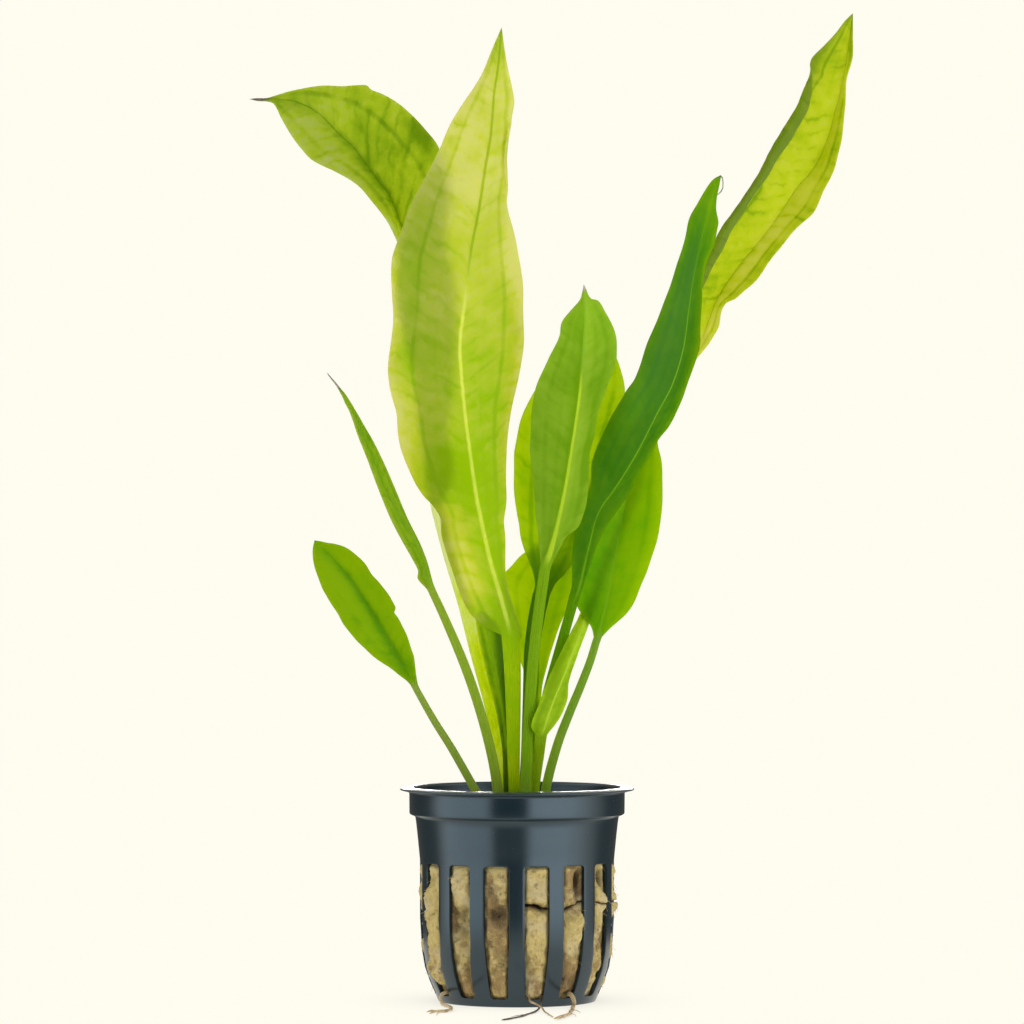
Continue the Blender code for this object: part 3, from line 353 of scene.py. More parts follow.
# Points run from the crown to the tip as (across, up, depth) in mm, as the eye sees them at the pot's axis.
# A margin's third number is how far behind the rib it lies, stalkWidth is at the crown and at the blade.
# A roll's curl is how many mm of the margin are rolled in, at shares of the way along the blade. A spot is its
# share of that way, its place across from -1 to 1, its reach along and across, what it adds to the light's hue,
# and the painted shade it adds, which lets less light through and darkens the colour towards the shadow colour
# (below 0 it is painted light). Besides the leaves' own paler and deeper patches, spots paint sheen and the
# shade of folds, of parts turned away and of parts behind other leaves. A side's rib band is painted shade
# where the blade turns away from the light beside the rib: the light taken away, what it adds to the hue, and
# its reach in mm. A thread is its points and its half widths.
leaves = {
    "leafTallFront": dict(
        node="leaf_tall_front", slot="leaf_yellow", seed=11, wave=0.45, waveCount=5, buckle=0.3, cup=0.05,
        ribFront=0.75, crossGap=4.2,
        roll=dict(right=dict(
            radius=0.6,
            curl=[(0, 0), (0.70, 0), (0.745, 1.9), (0.79, 2.3), (0.83, 2.0), (0.86, 0), (1, 0)])),
        # Besides the leaf's own paler and deeper patches, the pale spots near the right margin paint its sheen,
        # and the small dark spot low on the left paints a fold's shade.
        spots=[(0.72, -0.2, 0.16, 0.8, -0.2, 0), (0.62, 0.9, 0.07, 0.3, -0.4, -0.02),
               (0.36, -0.95, 0.12, 0.25, -0.4, 0), (0.50, -0.98, 0.14, 0.2, -0.35, 0),
               (0.21, 0.1, 0.10, 0.8, 0.2, 0), (0.14, -0.55, 0.07, 0.3, -0.5, 0),
               (0.10, 0.6, 0.12, 0.5, 0.2, 0), (0.26, -0.6, 0.04, 0.4, 0.2, 0.02),
               (0.30, -0.1, 0.10, 0.35, 0.15, 0), (0.02, -0.5, 0.05, 0.8, 0.3, 0.08),
               (0.97, 0, 0.05, 2, 0.3, 0.02), (0.56, -0.8, 0.16, 0.22, 0.4, 0.02),
               (0.45, 0.35, 0.3, 0.35, 0.2, 0.03), (0.12, -0.7, 0.10, 0.4, -0.35, -0.08),
               (0.55, 0.95, 0.2, 0.12, -0.4, 0)],
        look=dict(pale=(0.97, 0.93, 0.46), light=(0.82, 0.85, 0.055), deep=(0.60, 0.78, 0.002),
                  body=(0.50, 0.56, 0.17), deepBody=(0.34, 0.48, 0.003), ribLow=(0.76, 0.84, 0.12),
                  ribHigh=(0.24, 0.32, 0.02), ribWidth=0.7, ribHue=(-0.5, 0.5), stalk=(0.42, 0.66, 0.005),
                  stalkClear=0.68, hue=0.86, hueTip=-0.75, ribTurn=(0.5, 0.66),
                  laneStrength=(0.1, 0.6, 0.05), laneWidth=(0.1, 0.8)),
        stalk=[(-0.6, 44, -2.8), (-0.7, 51, -3.2), (-0.8, 60, -4.4), (-0.9, 70, -5.8), (-1.1, 80, -7.1),
               (-1.5, 87.7, -8.2)],
        stalkWidth=(2.2, 4.4),
        rib=[(-1.5, 87.7, -8.2), (-3.8, 96.4, -9.2), (-6.2, 104.5, -10.2), (-8.2, 113.4, -11.2),
             (-9.8, 121.3, -12), (-11.3, 131.6, -12.9), (-12.5, 141, -13.8), (-13.4, 150.8, -14.6),
             (-13.7, 157.8, -15.2), (-12.7, 166.4, -15.9), (-11, 180.1, -17), (-9.2, 189.5, -17.9),
             (-7.5, 200.5, -19), (-6.3, 207.7, -20.2), (-5.4, 218.3, -22.1), (-4.5, 224.3, -23.7),
             (-3.7, 233.5, -26)],
        left=[(-3.7, 87.7, 0.2), (-7.4, 89.4, 0.7), (-10.3, 91.8, 1.2), (-12.4, 94.7, 1.5),
              (-14.2, 99, 1.9), (-15.9, 104, 2.3), (-17.2, 108.1, 2.7), (-18.1, 111.7, 3.1),
              (-18.4, 115.8, 3.6), (-20.2, 118.9, 4), (-22.3, 121.1, 4.3), (-24.9, 124.9, 4.9),
              (-27.5, 130.7, 5.6), (-28.6, 135.7, 5.9), (-29, 141, 6.3), (-30.1, 145.8, 6.6),
              (-30.9, 152.5, 6.8), (-30.5, 157.3, 6.7), (-29.8, 163.3, 6.7), (-30.2, 170.5, 6.6),
              (-29.8, 178, 6), (-28.1, 183.7, 5.6), (-26.2, 189.2, 5.2), (-23.8, 194.5, 4.8),
              (-18.6, 204.1, 3.8), (-16.1, 210.1, 3.2), (-13.3, 214.8, 2.6), (-10.6, 218.8, 2.1),
              (-8.5, 222.4, 1.6), (-6.2, 227.8, 0.9), (-3.7, 233.5, 0)],
        right=[(1.3, 87.7, 0.2), (0.3, 91, 0.5), (-0.9, 94.5, 0.8), (-2, 98.5, 1.2), (-2.7, 103.3, 1.6),
               (-2.7, 111.2, 2.3), (-3.2, 115.1, 2.6), (-2.7, 120.1, 3), (-2.6, 126.1, 3.5),
               (-2.4, 132.1, 4), (-1.7, 138.1, 4.5), (-1, 144.1, 5), (0.7, 151.3, 5.4), (1.7, 158.5, 5.9),
               (1.6, 168.8, 5.9), (0.7, 176.5, 5.6), (-0.4, 182.3, 5.1), (-1.8, 188.8, 4.6),
               (-2.4, 193.6, 4.1), (-3, 198.6, 3.6), (-3.2, 202.4, 3.2), (-2.9, 206.3, 2.9),
               (-2.3, 209.6, 2.5), (-1.2, 212.8, 2.2), (-0.6, 215.4, 2), (-0.9, 218.3, 1.7),
               (-1.9, 222.6, 1.2), (-2.8, 227.3, 0.7), (-3.7, 233.5, 0)],
    ),
    "leafArchingLeft": dict(
        node="leaf_arching_left", slot="leaf_yellow", seed=12, wave=0.5, waveCount=4, buckle=0.3,
        cup=0.04, crossGap=4.2,
        # Painted shade and sheen: the rib bands darken the blade where it turns away beside the rib, the tip
        # and the lower left half get a greyish painted sheen, and the foot spot makes the hidden lower blade
        # pale and clear so that it throws only faint shade on the leaf in front.
        ribPaintedShade=dict(left=(0.08, 0.3, 2.0), right=(0.05, 0.35, 0.9)),
        spots=[(0.95, 0.2, 0.16, 1.3, -0.30, 0.10), (0.74, -0.6, 0.2, 0.5, -0.22, 0.08),
               (0.05, 0.0, 0.34, 3, -0.9, -0.28), (0.66, 0.98, 0.03, 0.2, 0.5, 0.14)],
        look=dict(pale=(0.95, 0.97, 0.62), light=(0.80, 0.90, 0.012), deep=(0.46, 0.62, 0.002),
                  body=(0.32, 0.40, 0.06), deepBody=(0.16, 0.28, 0.002), ribLow=(0.12, 0.26, 0.003),
                  ribHigh=(0.12, 0.26, 0.003), clear=0.70, stalk=(0.50, 0.66, 0.03), stalkClear=0.84,
                  hue=0.62, hueTip=0.0, dryFrom=0.95, laneStrength=(0.1, 0.4, 0.05)),
        stalk=[(-2.4, 44, 1.2), (-2.6, 51, 1.4), (-3.8, 60, 2), (-6.6, 72, 2.6), (-9.8, 84, 3),
               (-12.8, 96, 3.4), (-16.1, 107, 3.8), (-19.2, 118.9, 4.2)],
        stalkWidth=(3, 3.4),
        rib=[(-19.2, 118.9, 4.2), (-19, 129.7, 4.7), (-19.2, 139.3, 5.1), (-19.9, 151.3, 5.9),
             (-20.9, 160.9, 6.6), (-23.3, 174.1, 8), (-25.4, 180.6, 9), (-28.1, 186.4, 10),
             (-30.7, 193.1, 11), (-34.1, 197.6, 11.8), (-36.8, 201.5, 12.4), (-39.6, 205.1, 13),
             (-43, 208.2, 13.4), (-47.5, 212.8, 14), (-52.8, 215.6, 14), (-56.9, 216.2, 14),
             (-61.2, 216.2, 13.7), (-64.3, 216.3, 13.4)],
        left=[(-20.8, 118.9, 0), (-21.6, 127.3, -0.7), (-22.8, 136.9, -1.6), (-23.8, 144.1, -2.2),
              (-25.4, 154.9, -3), (-27.4, 162.8, -3.4), (-28.2, 168.1, -3.7), (-28.4, 175.3, -4),
              (-28.5, 181.3, -4.2), (-30.2, 185.4, -4.3), (-32.2, 188.8, -4.4), (-34.2, 191.6, -4.4),
              (-37.1, 194.6, -4.2), (-41, 197.1, -4.1), (-44.4, 199.1, -4), (-49.3, 201.7, -3.4),
              (-51.8, 204.4, -2.9), (-54.2, 207.8, -2.3), (-56.6, 211.8, -1.6), (-58.3, 215, -1),
              (-59.8, 215.6, -0.7), (-62.2, 215.8, -0.4), (-64.3, 216.3, 0)],
        right=[(-17.6, 118.9, 0), (-14.9, 127.3, -0.7), (-16.2, 136.9, -1.4), (-14.8, 146.5, -1.9),
               (-14.3, 158.5, -2.6), (-14.5, 169.3, -3), (-16.2, 180.1, -3.4), (-15.6, 192.1, -3.4),
               (-17.3, 200.5, -3.4), (-19.4, 205.6, -3.4), (-21.4, 208.3, -3.3), (-24.4, 211.8, -3.2),
               (-28.3, 215.2, -3), (-32.2, 217.5, -2.7), (-35, 218.6, -2.5), (-36, 219.6, -2.4),
               (-39.1, 219.6, -2.1), (-42, 219.4, -1.9), (-46.9, 219.5, -1.5), (-51.8, 218.8, -1),
               (-55.4, 218, -0.7), (-58.1, 217.1, -0.5), (-59.8, 216.5, -0.4), (-62.2, 216.5, -0.2),
               (-64.3, 216.3, 0)],
    ),
    "leafNarrowLeft": dict(
        node="leaf_narrow_left", slot="leaf_fresh", seed=13, wave=0.0, waveCount=4, buckle=0.0, cup=0.01,
        crossGap=3.4,
        ribPaintedShade=dict(left=(0, 0.3, 1.2), right=(0, 0.3, 1.2)),
        look=dict(pale=(0.66, 0.74, 0.20), light=(0.58, 0.72, 0.05), deep=(0.40, 0.60, 0.010),
                  body=(0.23, 0.33, 0.04), deepBody=(0.15, 0.28, 0.01), ribLow=(0.18, 0.38, 0.02),
                  ribHigh=(0.18, 0.34, 0.02), stalk=(0.29, 0.42, 0.06), hue=0.6, hueTip=-0.1, dryFrom=0.9,
                  paleEdge=0.6),
        stalk=[(-4.4, 44, -2.4), (-4.7, 51, -3), (-6.3, 60, -4.2), (-9.3, 71, -5.6), (-12.8, 81, -7),
               (-17.7, 92.5, -9), (-20.5, 98.5, -10)],
        stalkWidth=(2.5, 2.1),
        rib=[(-20.5, 98.5, -10), (-22.5, 105.7, -11.4), (-26.2, 113, -13), (-29.3, 118.2, -14),
             (-31.7, 122.5, -14.8), (-34.3, 129, -15.9), (-36.7, 134.5, -16.8), (-38.6, 139.3, -17.7),
             (-40.1, 142, -18.2), (-41.3, 144.4, -18.7), (-43, 147.2, -19.3), (-45.7, 150.7, -20)],
        left=[(-21.5, 98.5, -0.4), (-22.3, 99.4, -0.6), (-23.3, 100.4, -1.1), (-23.9, 101.4, -1.5),
              (-23.7, 103, -2.1), (-25, 105.7, -3.1), (-28.1, 111.2, -4.3), (-30.5, 116, -5.2),
              (-33.4, 123.2, -5.1), (-36, 130.2, -5), (-38.2, 135.7, -3.8), (-40, 141, -2.8),
              (-41.3, 143.6, -2.1), (-42.2, 145.6, -1.5), (-43.9, 148.4, -0.7), (-45.7, 150.7, 0)],
        right=[(-19.5, 98.5, 0.4), (-20.4, 100.9, 1.4), (-21.4, 104.5, 2.8), (-22.6, 107.9, 4),
               (-23.8, 110.6, 4.9), (-26.4, 115.8, 5.3), (-29.3, 122.8, 5.6), (-31.9, 128.8, 4.9),
               (-34.6, 134.3, 4.2), (-36.7, 137.9, 3.2), (-38.6, 141.2, 2.4), (-39.8, 143.2, 1.9),
               (-41, 145.1, 1.5), (-43, 147.5, 0.9), (-45.7, 150.7, 0)],
    ),
    "leafSpoonLeft": dict(
        node="leaf_spoon_left", slot="leaf_fresh", seed=14, wave=0.25, waveCount=4, buckle=0.15, cup=0.03,
        crossGap=3.0,
        ribPaintedShade=dict(left=(0.14, 0.8, 1.5), right=(0.10, 0.6, 1.0)),
        spots=[(0.85, 0, 0.2, 1, -0.2, 0)],
        look=dict(pale=(0.58, 0.70, 0.02), light=(0.54, 0.70, 0.001), deep=(0.32, 0.55, 0.0005),
                  body=(0.20, 0.35, 0.002), deepBody=(0.11, 0.28, 0.001), ribLow=(0.16, 0.34, 0.003),
                  ribHigh=(0.16, 0.34, 0.003), ribBlock=0.05, stalk=(0.34, 0.37, 0.14), hue=0.5,
                  hueTip=-0.1, crossStrength=0.4, laneStrength=(0.1, 0.2, 0.02)),
        stalk=[(-6.4, 44.2, 0.4), (-10.3, 51, -0.8), (-15.7, 60.5, -3.4), (-19.8, 67, -5.6),
               (-24.7, 75.6, -8.8)],
        stalkWidth=(2.2, 1.6),
        rib=[(-24.7, 75.6, -8.8), (-25.9, 78.1, -9.7), (-29.3, 84.1, -11.8), (-34.1, 92.3, -14.6),
             (-39.6, 100.7, -17), (-43.7, 105.7, -18.4), (-46.6, 108.6, -19.1), (-48.6, 110.4, -19.6)],
        left=[(-25.6, 75.7, 0.2), (-26.4, 76.6, -0), (-28.1, 77.9, -0.4), (-30.5, 79.8, -1),
              (-33.4, 81.7, -1.6), (-36, 83.9, -2), (-38.6, 86.4, -2.4), (-41.3, 89.9, -2.6),
              (-43.3, 93.1, -2.8), (-45.4, 96.4, -2.5), (-47.3, 100.4, -2.2), (-48.5, 103.6, -1.5),
              (-49, 106, -1), (-49, 108.4, -0.5), (-48.6, 110.4, 0)],
        right=[(-23.8, 75.9, -0.2), (-24.2, 78.1, -0.6), (-24.5, 81, -1.2), (-24.8, 82.9, -1.6),
               (-25.9, 86, -2), (-27.4, 89.6, -2.5), (-28.8, 92.3, -2.6), (-29.4, 93.2, -2.6),
               (-29, 94.3, -2.7), (-30, 95.9, -2.7), (-31.2, 97.8, -2.8), (-32.9, 100, -2.5),
               (-34.6, 102.1, -2.3), (-36.2, 104.5, -2), (-38.4, 106.7, -1.7), (-41.3, 108.8, -1),
               (-43.7, 109.6, -0.6), (-45.4, 109.8, -0.4), (-47.3, 110.2, -0.2), (-48.6, 110.4, 0)],
    ),
    "leafMiddleFront": dict(
        node="leaf_middle_front", slot="leaf_fresh", seed=15, wave=0.35, waveCount=4, buckle=0.3,
        cup=0.05, ribFront=0.9, crossGap=4.0,
        ribPaintedShade=dict(left=(0.05, 0.6, 1.5), right=(-0.03, -0.5, 2.4)),
        spots=[(0.45, 0.75, 0.3, 0.25, 0.45, 0.04), (0.9, 0, 0.15, 1, -0.1, 0),
               (0.62, 0.2, 0.08, 0.5, 0.25, 0)],
        look=dict(pale=(0.60, 0.76, 0.10), light=(0.54, 0.73, 0.015), deep=(0.36, 0.61, 0.001),
                  body=(0.34, 0.50, 0.03), deepBody=(0.20, 0.38, 0.002), ribLow=(0.62, 0.78, 0.03),
                  ribHigh=(0.30, 0.48, 0.03), clear=0.48, ribHue=(-0.8, 0.1), stalk=(0.27, 0.48, 0.006),
                  stalkClear=0.42, hue=0.5, hueTip=0.0, dryFrom=0.965, ribTurn=(0.6, 0.72), ribWidth=0.6,
                  ribBlock=0.0, crossStrength=0.6, laneStrength=(0.2, 0.3, 0.05)),
        stalk=[(1.9, 44, -5.6), (2.1, 51, -6.2), (2.5, 61, -7.4), (3.1, 71, -8.6), (3.9, 81.5, -10),
               (5, 91.6, -11.4), (6.8, 104.5, -13.4)],
        stalkWidth=(2.8, 2.6),
        rib=[(7, 104.5, -13.4), (7.4, 105.7, -13.6), (9.1, 111.7, -14.5), (11.5, 122.5, -16.4),
             (13.4, 134, -18.6), (14.9, 144.1, -20.7), (15.6, 151.8, -22.4), (16.1, 158.5, -24.2),
             (16.4, 165.7, -26.3), (16.2, 168.8, -27.4), (16, 171.8, -28.4)],
        left=[(5.7, 104.5, 0.2), (5, 112.9, 1.9), (4.2, 119.4, 2.8), (3.6, 127.3, 3.7), (3.2, 134.5, 4),
              (3.4, 141, 4.1), (4.1, 145.3, 4), (5.3, 148.9, 3.7), (7.4, 153.7, 3.2), (10.1, 159.5, 2.4),
              (10.8, 162.8, 1.9), (13, 165.7, 1.3), (15.1, 168.1, 0.7), (15.6, 169.6, 0.4),
              (16, 171.8, 0)],
        right=[(8.3, 104.5, 0.2), (10.3, 108.4, 0.9), (12, 111.5, 1.5), (14.6, 113.6, 2),
               (15.8, 116.3, 2.4), (16.8, 120.1, 2.9), (17.4, 124.2, 3.4), (17.2, 128.5, 3.7),
               (17.5, 132.1, 3.9), (18.7, 136.9, 4), (20.2, 142.9, 3.9), (21.8, 147.7, 3.9),
               (23, 151.3, 3.8), (23.9, 154.4, 3.6), (24, 158.5, 2.8), (23, 161.9, 2.3),
               (21.2, 165.2, 1.6), (19.4, 168, 1.1), (17.8, 168.4, 0.7), (17, 169.6, 0.5),
               (16.6, 170.8, 0.2), (16, 171.8, 0)],
    ),
    "leafMiddleBack": dict(
        node="leaf_middle_back", slot="leaf_fresh", seed=16, wave=0.35, waveCount=4, buckle=0.25,
        cup=0.04, crossGap=4.0,
        # Painted shade: the foot spot and the dark stalk that lets little light through stand in for the shade
        # over its lower part.
        spots=[(0.03, 0, 0.10, 2.5, 0.7, 0.40)],
        look=dict(pale=(0.78, 0.94, 0.16), light=(0.78, 0.92, 0.03), deep=(0.56, 0.78, 0.003),
                  body=(0.30, 0.44, 0.01), deepBody=(0.18, 0.34, 0.003), ribLow=(0.3, 0.5, 0.03),
                  ribHigh=(0.2, 0.42, 0.02), stalk=(0.05, 0.18, 0.002), hue=0.5, hueTip=0.0,
                  stalkClear=0.25, shadow=(0.04, 0.16, 0.002)),
        stalk=[(1.5, 44, 0.2), (1.8, 51, 0.2), (2.4, 60, 1.2), (3, 72, 2.8), (3.6, 84, 4.6),
               (4.6, 91.5, 5.7), (5.8, 97.3, 6.6)],
        stalkWidth=(2.2, 4.2),
        rib=[(5.8, 97.3, 6.6), (6.7, 104.5, 7.8), (8.2, 110.5, 8.8), (9.8, 118.9, 10.3),
             (11.3, 127.3, 11.8), (13.7, 134.5, 13.2), (16.3, 141.7, 14.6), (19.4, 149.4, 16.4),
             (22.3, 156.6, 18)],
        left=[(3.7, 97.3, 0), (4.3, 99.5, -0.2), (4, 102.1, -0.5), (2.9, 105.2, -0.9), (1.7, 108.1, -1.4),
              (0.7, 111.5, -1.8), (0.5, 114.4, -2.1), (-0.5, 120.1, -2.5), (-0.8, 124, -2.8),
              (-0.8, 129.7, -2.9), (-0.2, 134, -3), (1, 139.6, -2.8), (2.9, 144.1, -2.4),
              (5.8, 148.2, -2.1), (11.5, 152.5, -1.3), (17, 155.2, -0.6), (22.3, 156.6, 0)],
        right=[(7.9, 97.3, 0), (9.4, 100.2, -0.3), (12, 102.8, -0.7), (14.2, 106, -1.1),
               (15.8, 110.3, -1.5), (17.5, 117.2, -1.9), (20.4, 124.9, -2.4), (22.8, 131.6, -2.6),
               (24.7, 138.1, -2.8), (25.9, 145.3, -2.2), (25.8, 147.7, -2), (25.2, 150.4, -1.5),
               (24, 154, -0.7), (22.3, 156.6, 0)],
    ),
    "leafDarkRight": dict(
        node="leaf_dark_right", slot="leaf_deep", seed=17, wave=0.35, waveCount=5, buckle=0.2, cup=0.03,
        ribFront=0.9, crossGap=4.4,
        ribPaintedShade=dict(left=(0.08, 0.3, 1.6), right=(0.0, 0.0, 1)),
        # The first spots darken the upper left towards a bluish shadow colour: painted shade with a bluish
        # painted sheen.
        spots=[(0.60, -0.6, 0.17, 0.5, 0.2, 0.34), (0.79, -0.2, 0.10, 0.6, 0.2, 0.2),
               (0.5, 0.1, 0.2, 0.6, 0.2, 0.1), (0.5, 0.9, 0.3, 0.25, -0.4, -0.03),
               (0.93, 0.1, 0.09, 1.0, -0.5, -0.03), (0.3, -0.5, 0.14, 0.5, 0.2, 0.03),
               (0.12, 0.8, 0.1, 0.4, -0.3, -0.03), (0.78, 0.9, 0.12, 0.25, -0.3, 0),
               (0.62, 0.15, 0.12, 0.3, 0.25, 0.06)],
        look=dict(pale=(0.54, 0.72, 0.003), light=(0.41, 0.63, 0.001), deep=(0.28, 0.54, 0.0005),
                  body=(0.14, 0.30, 0.002), deepBody=(0.078, 0.24, 0.001), ribLow=(0.26, 0.52, 0.02),
                  ribHigh=(0.16, 0.36, 0.01), feather=0.7, ribHue=(-0.5, 0.0), stalk=(0.10, 0.28, 0.002),
                  hue=0.55, hueTip=0.0, dryFrom=0.982, shadow=(0.035, 0.13, 0.03), ribWidth=0.34,
                  ribBlock=0.0, crossStrength=0.3, ribTurn=(0.55, 0.8), laneStrength=(0.3, 0.3, 0.05)),
        threads=[([(48.8, 197.9, -9.6), (49.3, 197.4, -9.8), (49.45, 196.2, -10.2), (49.4, 195.0, -10.4),
                   (48.9, 194.0, -10.2), (48.1, 193.3, -9.9)], [0.18, 0.15, 0.14, 0.15, 0.18, 0.12])],
        stalk=[(3.9, 44, -0.4), (4.3, 51, -0.4), (5.2, 61, -0.6), (6.2, 68.5, -1), (7.7, 75, -1),
               (10.2, 84, -0.9), (13.3, 95, -3.2)],
        stalkWidth=(2.4, 2.5),
        rib=[(13.3, 95, -3.2), (14.6, 98.5, -3.7), (17.1, 108.8, -5), (19.4, 117, -6), (22.8, 122, -6.6),
             (25.9, 126.6, -7.2), (29.5, 132.8, -7.8), (33.4, 140.5, -8.6), (37.2, 147.7, -9.1),
             (39.8, 156.1, -9.6), (41, 164.5, -9.9), (42.2, 172.9, -10), (43.7, 180.1, -10),
             (45.4, 187.8, -9.9), (47.3, 194, -9.7), (49, 198.1, -9.6)],
        left=[(12, 95, 0), (12.6, 97.5, -0.1), (13.3, 100.4, -0.3), (13.1, 105, -0.6),
              (13.4, 109.3, -0.9), (14.6, 115.3, -1.3), (17.5, 123.5, -1.7), (18, 129.2, -2),
              (21.1, 136.9, -2.3), (25.9, 146, -2.6), (28.3, 149.3, -2.6), (31.4, 157.8, -2.6),
              (34, 164.5, -2.5), (36.7, 171.5, -2.2), (38.9, 177.8, -1.9), (40.4, 183.5, -1.5),
              (41.3, 187.7, -1.3), (43.2, 191.2, -1), (46, 195.7, -0.5), (47.3, 197.2, -0.3),
              (49, 198.1, 0)],
        right=[(14.6, 95, 0.2), (16.2, 100.4, 0.6), (18, 105.2, 1), (19.9, 110.5, 1.4),
               (21.6, 114.1, 1.7), (24.7, 118.4, 2.2), (27.1, 122, 2.7), (29, 125.4, 3), (31.4, 130, 3.5),
               (34, 134.9, 4), (36, 137.6, 4.3), (39.6, 143.3, 4.7), (41, 148.2, 4.8), (42.7, 153.2, 5),
               (44.2, 162.4, 4.7), (44.6, 171.5, 4.3), (45.2, 177.2, 3.6), (47.3, 181.3, 3.1),
               (48.2, 185.4, 2.7), (48.4, 186.8, 2.5), (47.9, 189.7, 2), (48, 192.8, 1.5),
               (48.4, 195.2, 0.9), (49, 198.1, 0)],
    ),
    "leafFoldedRight": dict(
        node="leaf_folded_right", slot="leaf_yellow", seed=18, wave=0.4, waveCount=6, buckle=0.3,
        cup=0.04, crossGap=4.0, crossRise=dict(left=-0.55, right=0.5),
        roll=dict(left=dict(
            radius=0.9,
            curl=[(0, 0), (0.27, 0), (0.34, 2.6), (0.42, 3.7), (0.514, 4.27), (0.603, 3.65),
                  (0.682, 4.06), (0.728, 4.99), (0.781, 4.68), (0.82, 3.86), (0.85, 2.2), (0.88, 0),
                  (1, 0)])),
        # The first spot is painted shade on the rolled left margin, darker than its double layer alone makes
        # it.
        spots=[(0.60, -1.0, 0.40, 0.22, 0.6, 0.60), (0.4, 0.5, 0.2, 0.6, -0.1, 0),
               (0.6, 0.9, 0.25, 0.2, 0.25, 0), (0.33, 0.5, 0.06, 0.8, -0.45, -0.06),
               (0.52, 0.4, 0.16, 0.4, -0.3, 0), (0.42, -0.2, 0.1, 0.4, 0.2, 0)],
        look=dict(pale=(0.98, 0.97, 0.34), light=(0.82, 0.87, 0.07), deep=(0.48, 0.66, 0.002),
                  body=(0.37, 0.44, 0.03), deepBody=(0.26, 0.36, 0.004), ribLow=(0.2, 0.30, 0.01),
                  ribHigh=(0.2, 0.30, 0.01), shadow=(0.11, 0.16, 0.02), ribHue=(0.6, 0.6),
                  stalk=(0.2, 0.42, 0.013), hue=0.46, hueTip=0.0, dryFrom=0.99, ribWidth=0.34,
                  crossStrength=1.3, veinHue=0.6, laneStrength=(0.1, 0.7, 0.05), laneWidth=(0.08, 0.6)),
        stalk=[(3.4, 44, 3.4), (3.7, 51, 4.4), (4.3, 57.7, 5.6), (5.4, 62.5, 6.6), (7.3, 67.3, 7.7),
               (9.5, 72.5, 8.7), (11.4, 78, 9.8), (13.2, 84, 11), (15.2, 90, 12.3), (17.6, 96, 13.6),
               (21.6, 107, 16), (26.6, 120.1, 19.4)],
        stalkWidth=(2.3, 2.4),
        rib=[(26.6, 120.1, 19.4), (29, 127.3, 21), (33.6, 137.5, 23), (38.2, 146.5, 24.8),
             (44.4, 158.5, 27.4), (48.2, 168.6, 29.6), (52.8, 175.6, 31.4), (60.4, 184.9, 33.9),
             (64.3, 190.7, 35.4), (67.3, 195.2, 36.8), (71.4, 200, 38.4), (74.4, 206.3, 39.9),
             (76.1, 212.3, 41.2), (78, 219.7, 42.7), (79.2, 226.2, 44.1), (79.9, 231.7, 45.4),
             (80.6, 236.9, 46.6)],
        left=[(25.5, 120.6, -0.2), (29.2, 134.5, -2.3), (34.6, 148.9, -4.1), (38.3, 160.9, -5.4),
              (42.2, 171.7, -6.4), (44.9, 178.4, -6.9), (47.6, 183.7, -7.3), (50.3, 187.6, -7.5),
              (54.2, 193.6, -7.9), (56.6, 197.6, -7.9), (59.5, 202.3, -7.6), (62.4, 207.5, -7.3),
              (65.9, 213.4, -6.6), (68.2, 218.5, -5.7), (69.7, 221.5, -5.1), (70.2, 223.3, -4.7),
              (70.3, 224.8, -4.3), (71, 226.4, -3.8), (73.4, 228.8, -2.9), (76.3, 232, -1.8),
              (78.7, 235.1, -0.7), (80.6, 236.9, 0)],
        right=[(27.7, 119.4, -0.2), (30.6, 129.7, -1), (35.6, 140.5, -1.7), (39.6, 147.7, -2.1),
               (41.6, 151.8, -2.3), (44.4, 156.1, -2.5), (46.7, 158.8, -2.6), (48.7, 161.6, -2.7),
               (49.2, 165, -2.8), (50.2, 167.2, -2.9), (52.6, 168.4, -3), (54.7, 170.5, -3.1),
               (57.7, 173.5, -3.1), (62.4, 179.4, -3.3), (68.2, 186.4, -3.4), (71.4, 189.7, -3.3),
               (73.9, 194.8, -3.1), (76.3, 199.3, -3), (77.2, 202.9, -2.8), (78.2, 209.9, -2.3),
               (78.7, 214.4, -2), (79.2, 220.4, -1.5), (80.5, 226.2, -1.1), (80.6, 231.5, -0.6),
               (80.6, 236.9, 0)],
    ),
    "leafRoundRight": dict(
        node="leaf_round_right", slot="leaf_deep", seed=19, wave=0.3, waveCount=3, buckle=0.2, cup=0.04,
        crossGap=3.8,
        spots=[(0.35, -0.5, 0.25, 0.4, 0.3, 0.05), (0.6, 0.95, 0.5, 0.2, -0.5, -0.03),
               (0.1, -0.2, 0.15, 0.7, 0.35, 0.05)],
        look=dict(pale=(0.66, 0.82, 0.01), light=(0.55, 0.76, 0.003), deep=(0.40, 0.68, 0.001),
                  body=(0.19, 0.38, 0.003), deepBody=(0.11, 0.28, 0.001), ribLow=(0.24, 0.46, 0.02),
                  ribHigh=(0.2, 0.42, 0.02), stalk=(0.20, 0.30, 0.08), hue=0.55, hueTip=-0.1,
                  crossStrength=0.4, laneStrength=(0.1, 0.3, 0.02)),
        stalk=[(6.4, 44, -1.8), (7, 51, -1.8), (9.7, 61.3, -1.6), (12.6, 69, -1.4), (15.1, 75, -1.2),
               (17.6, 81.5, -1), (19.3, 87.2, -0.8)],
        stalkWidth=(2.4, 1.9),
        rib=[(19.4, 87.2, -0.8), (20.4, 91.3, -0.4), (21.4, 94.9, -0.1), (22.6, 100.9, 0.7),
             (24.2, 109.3, 1.9), (25.7, 117.2, 3.2), (27.6, 125.4, 4.7), (29.5, 133.8, 6.5),
             (31.4, 142.2, 8.4)],
        left=[(18.4, 87.2, 0), (17.9, 89.4, -0.1), (16.3, 91.8, -0.2), (14.6, 94.2, -0.4),
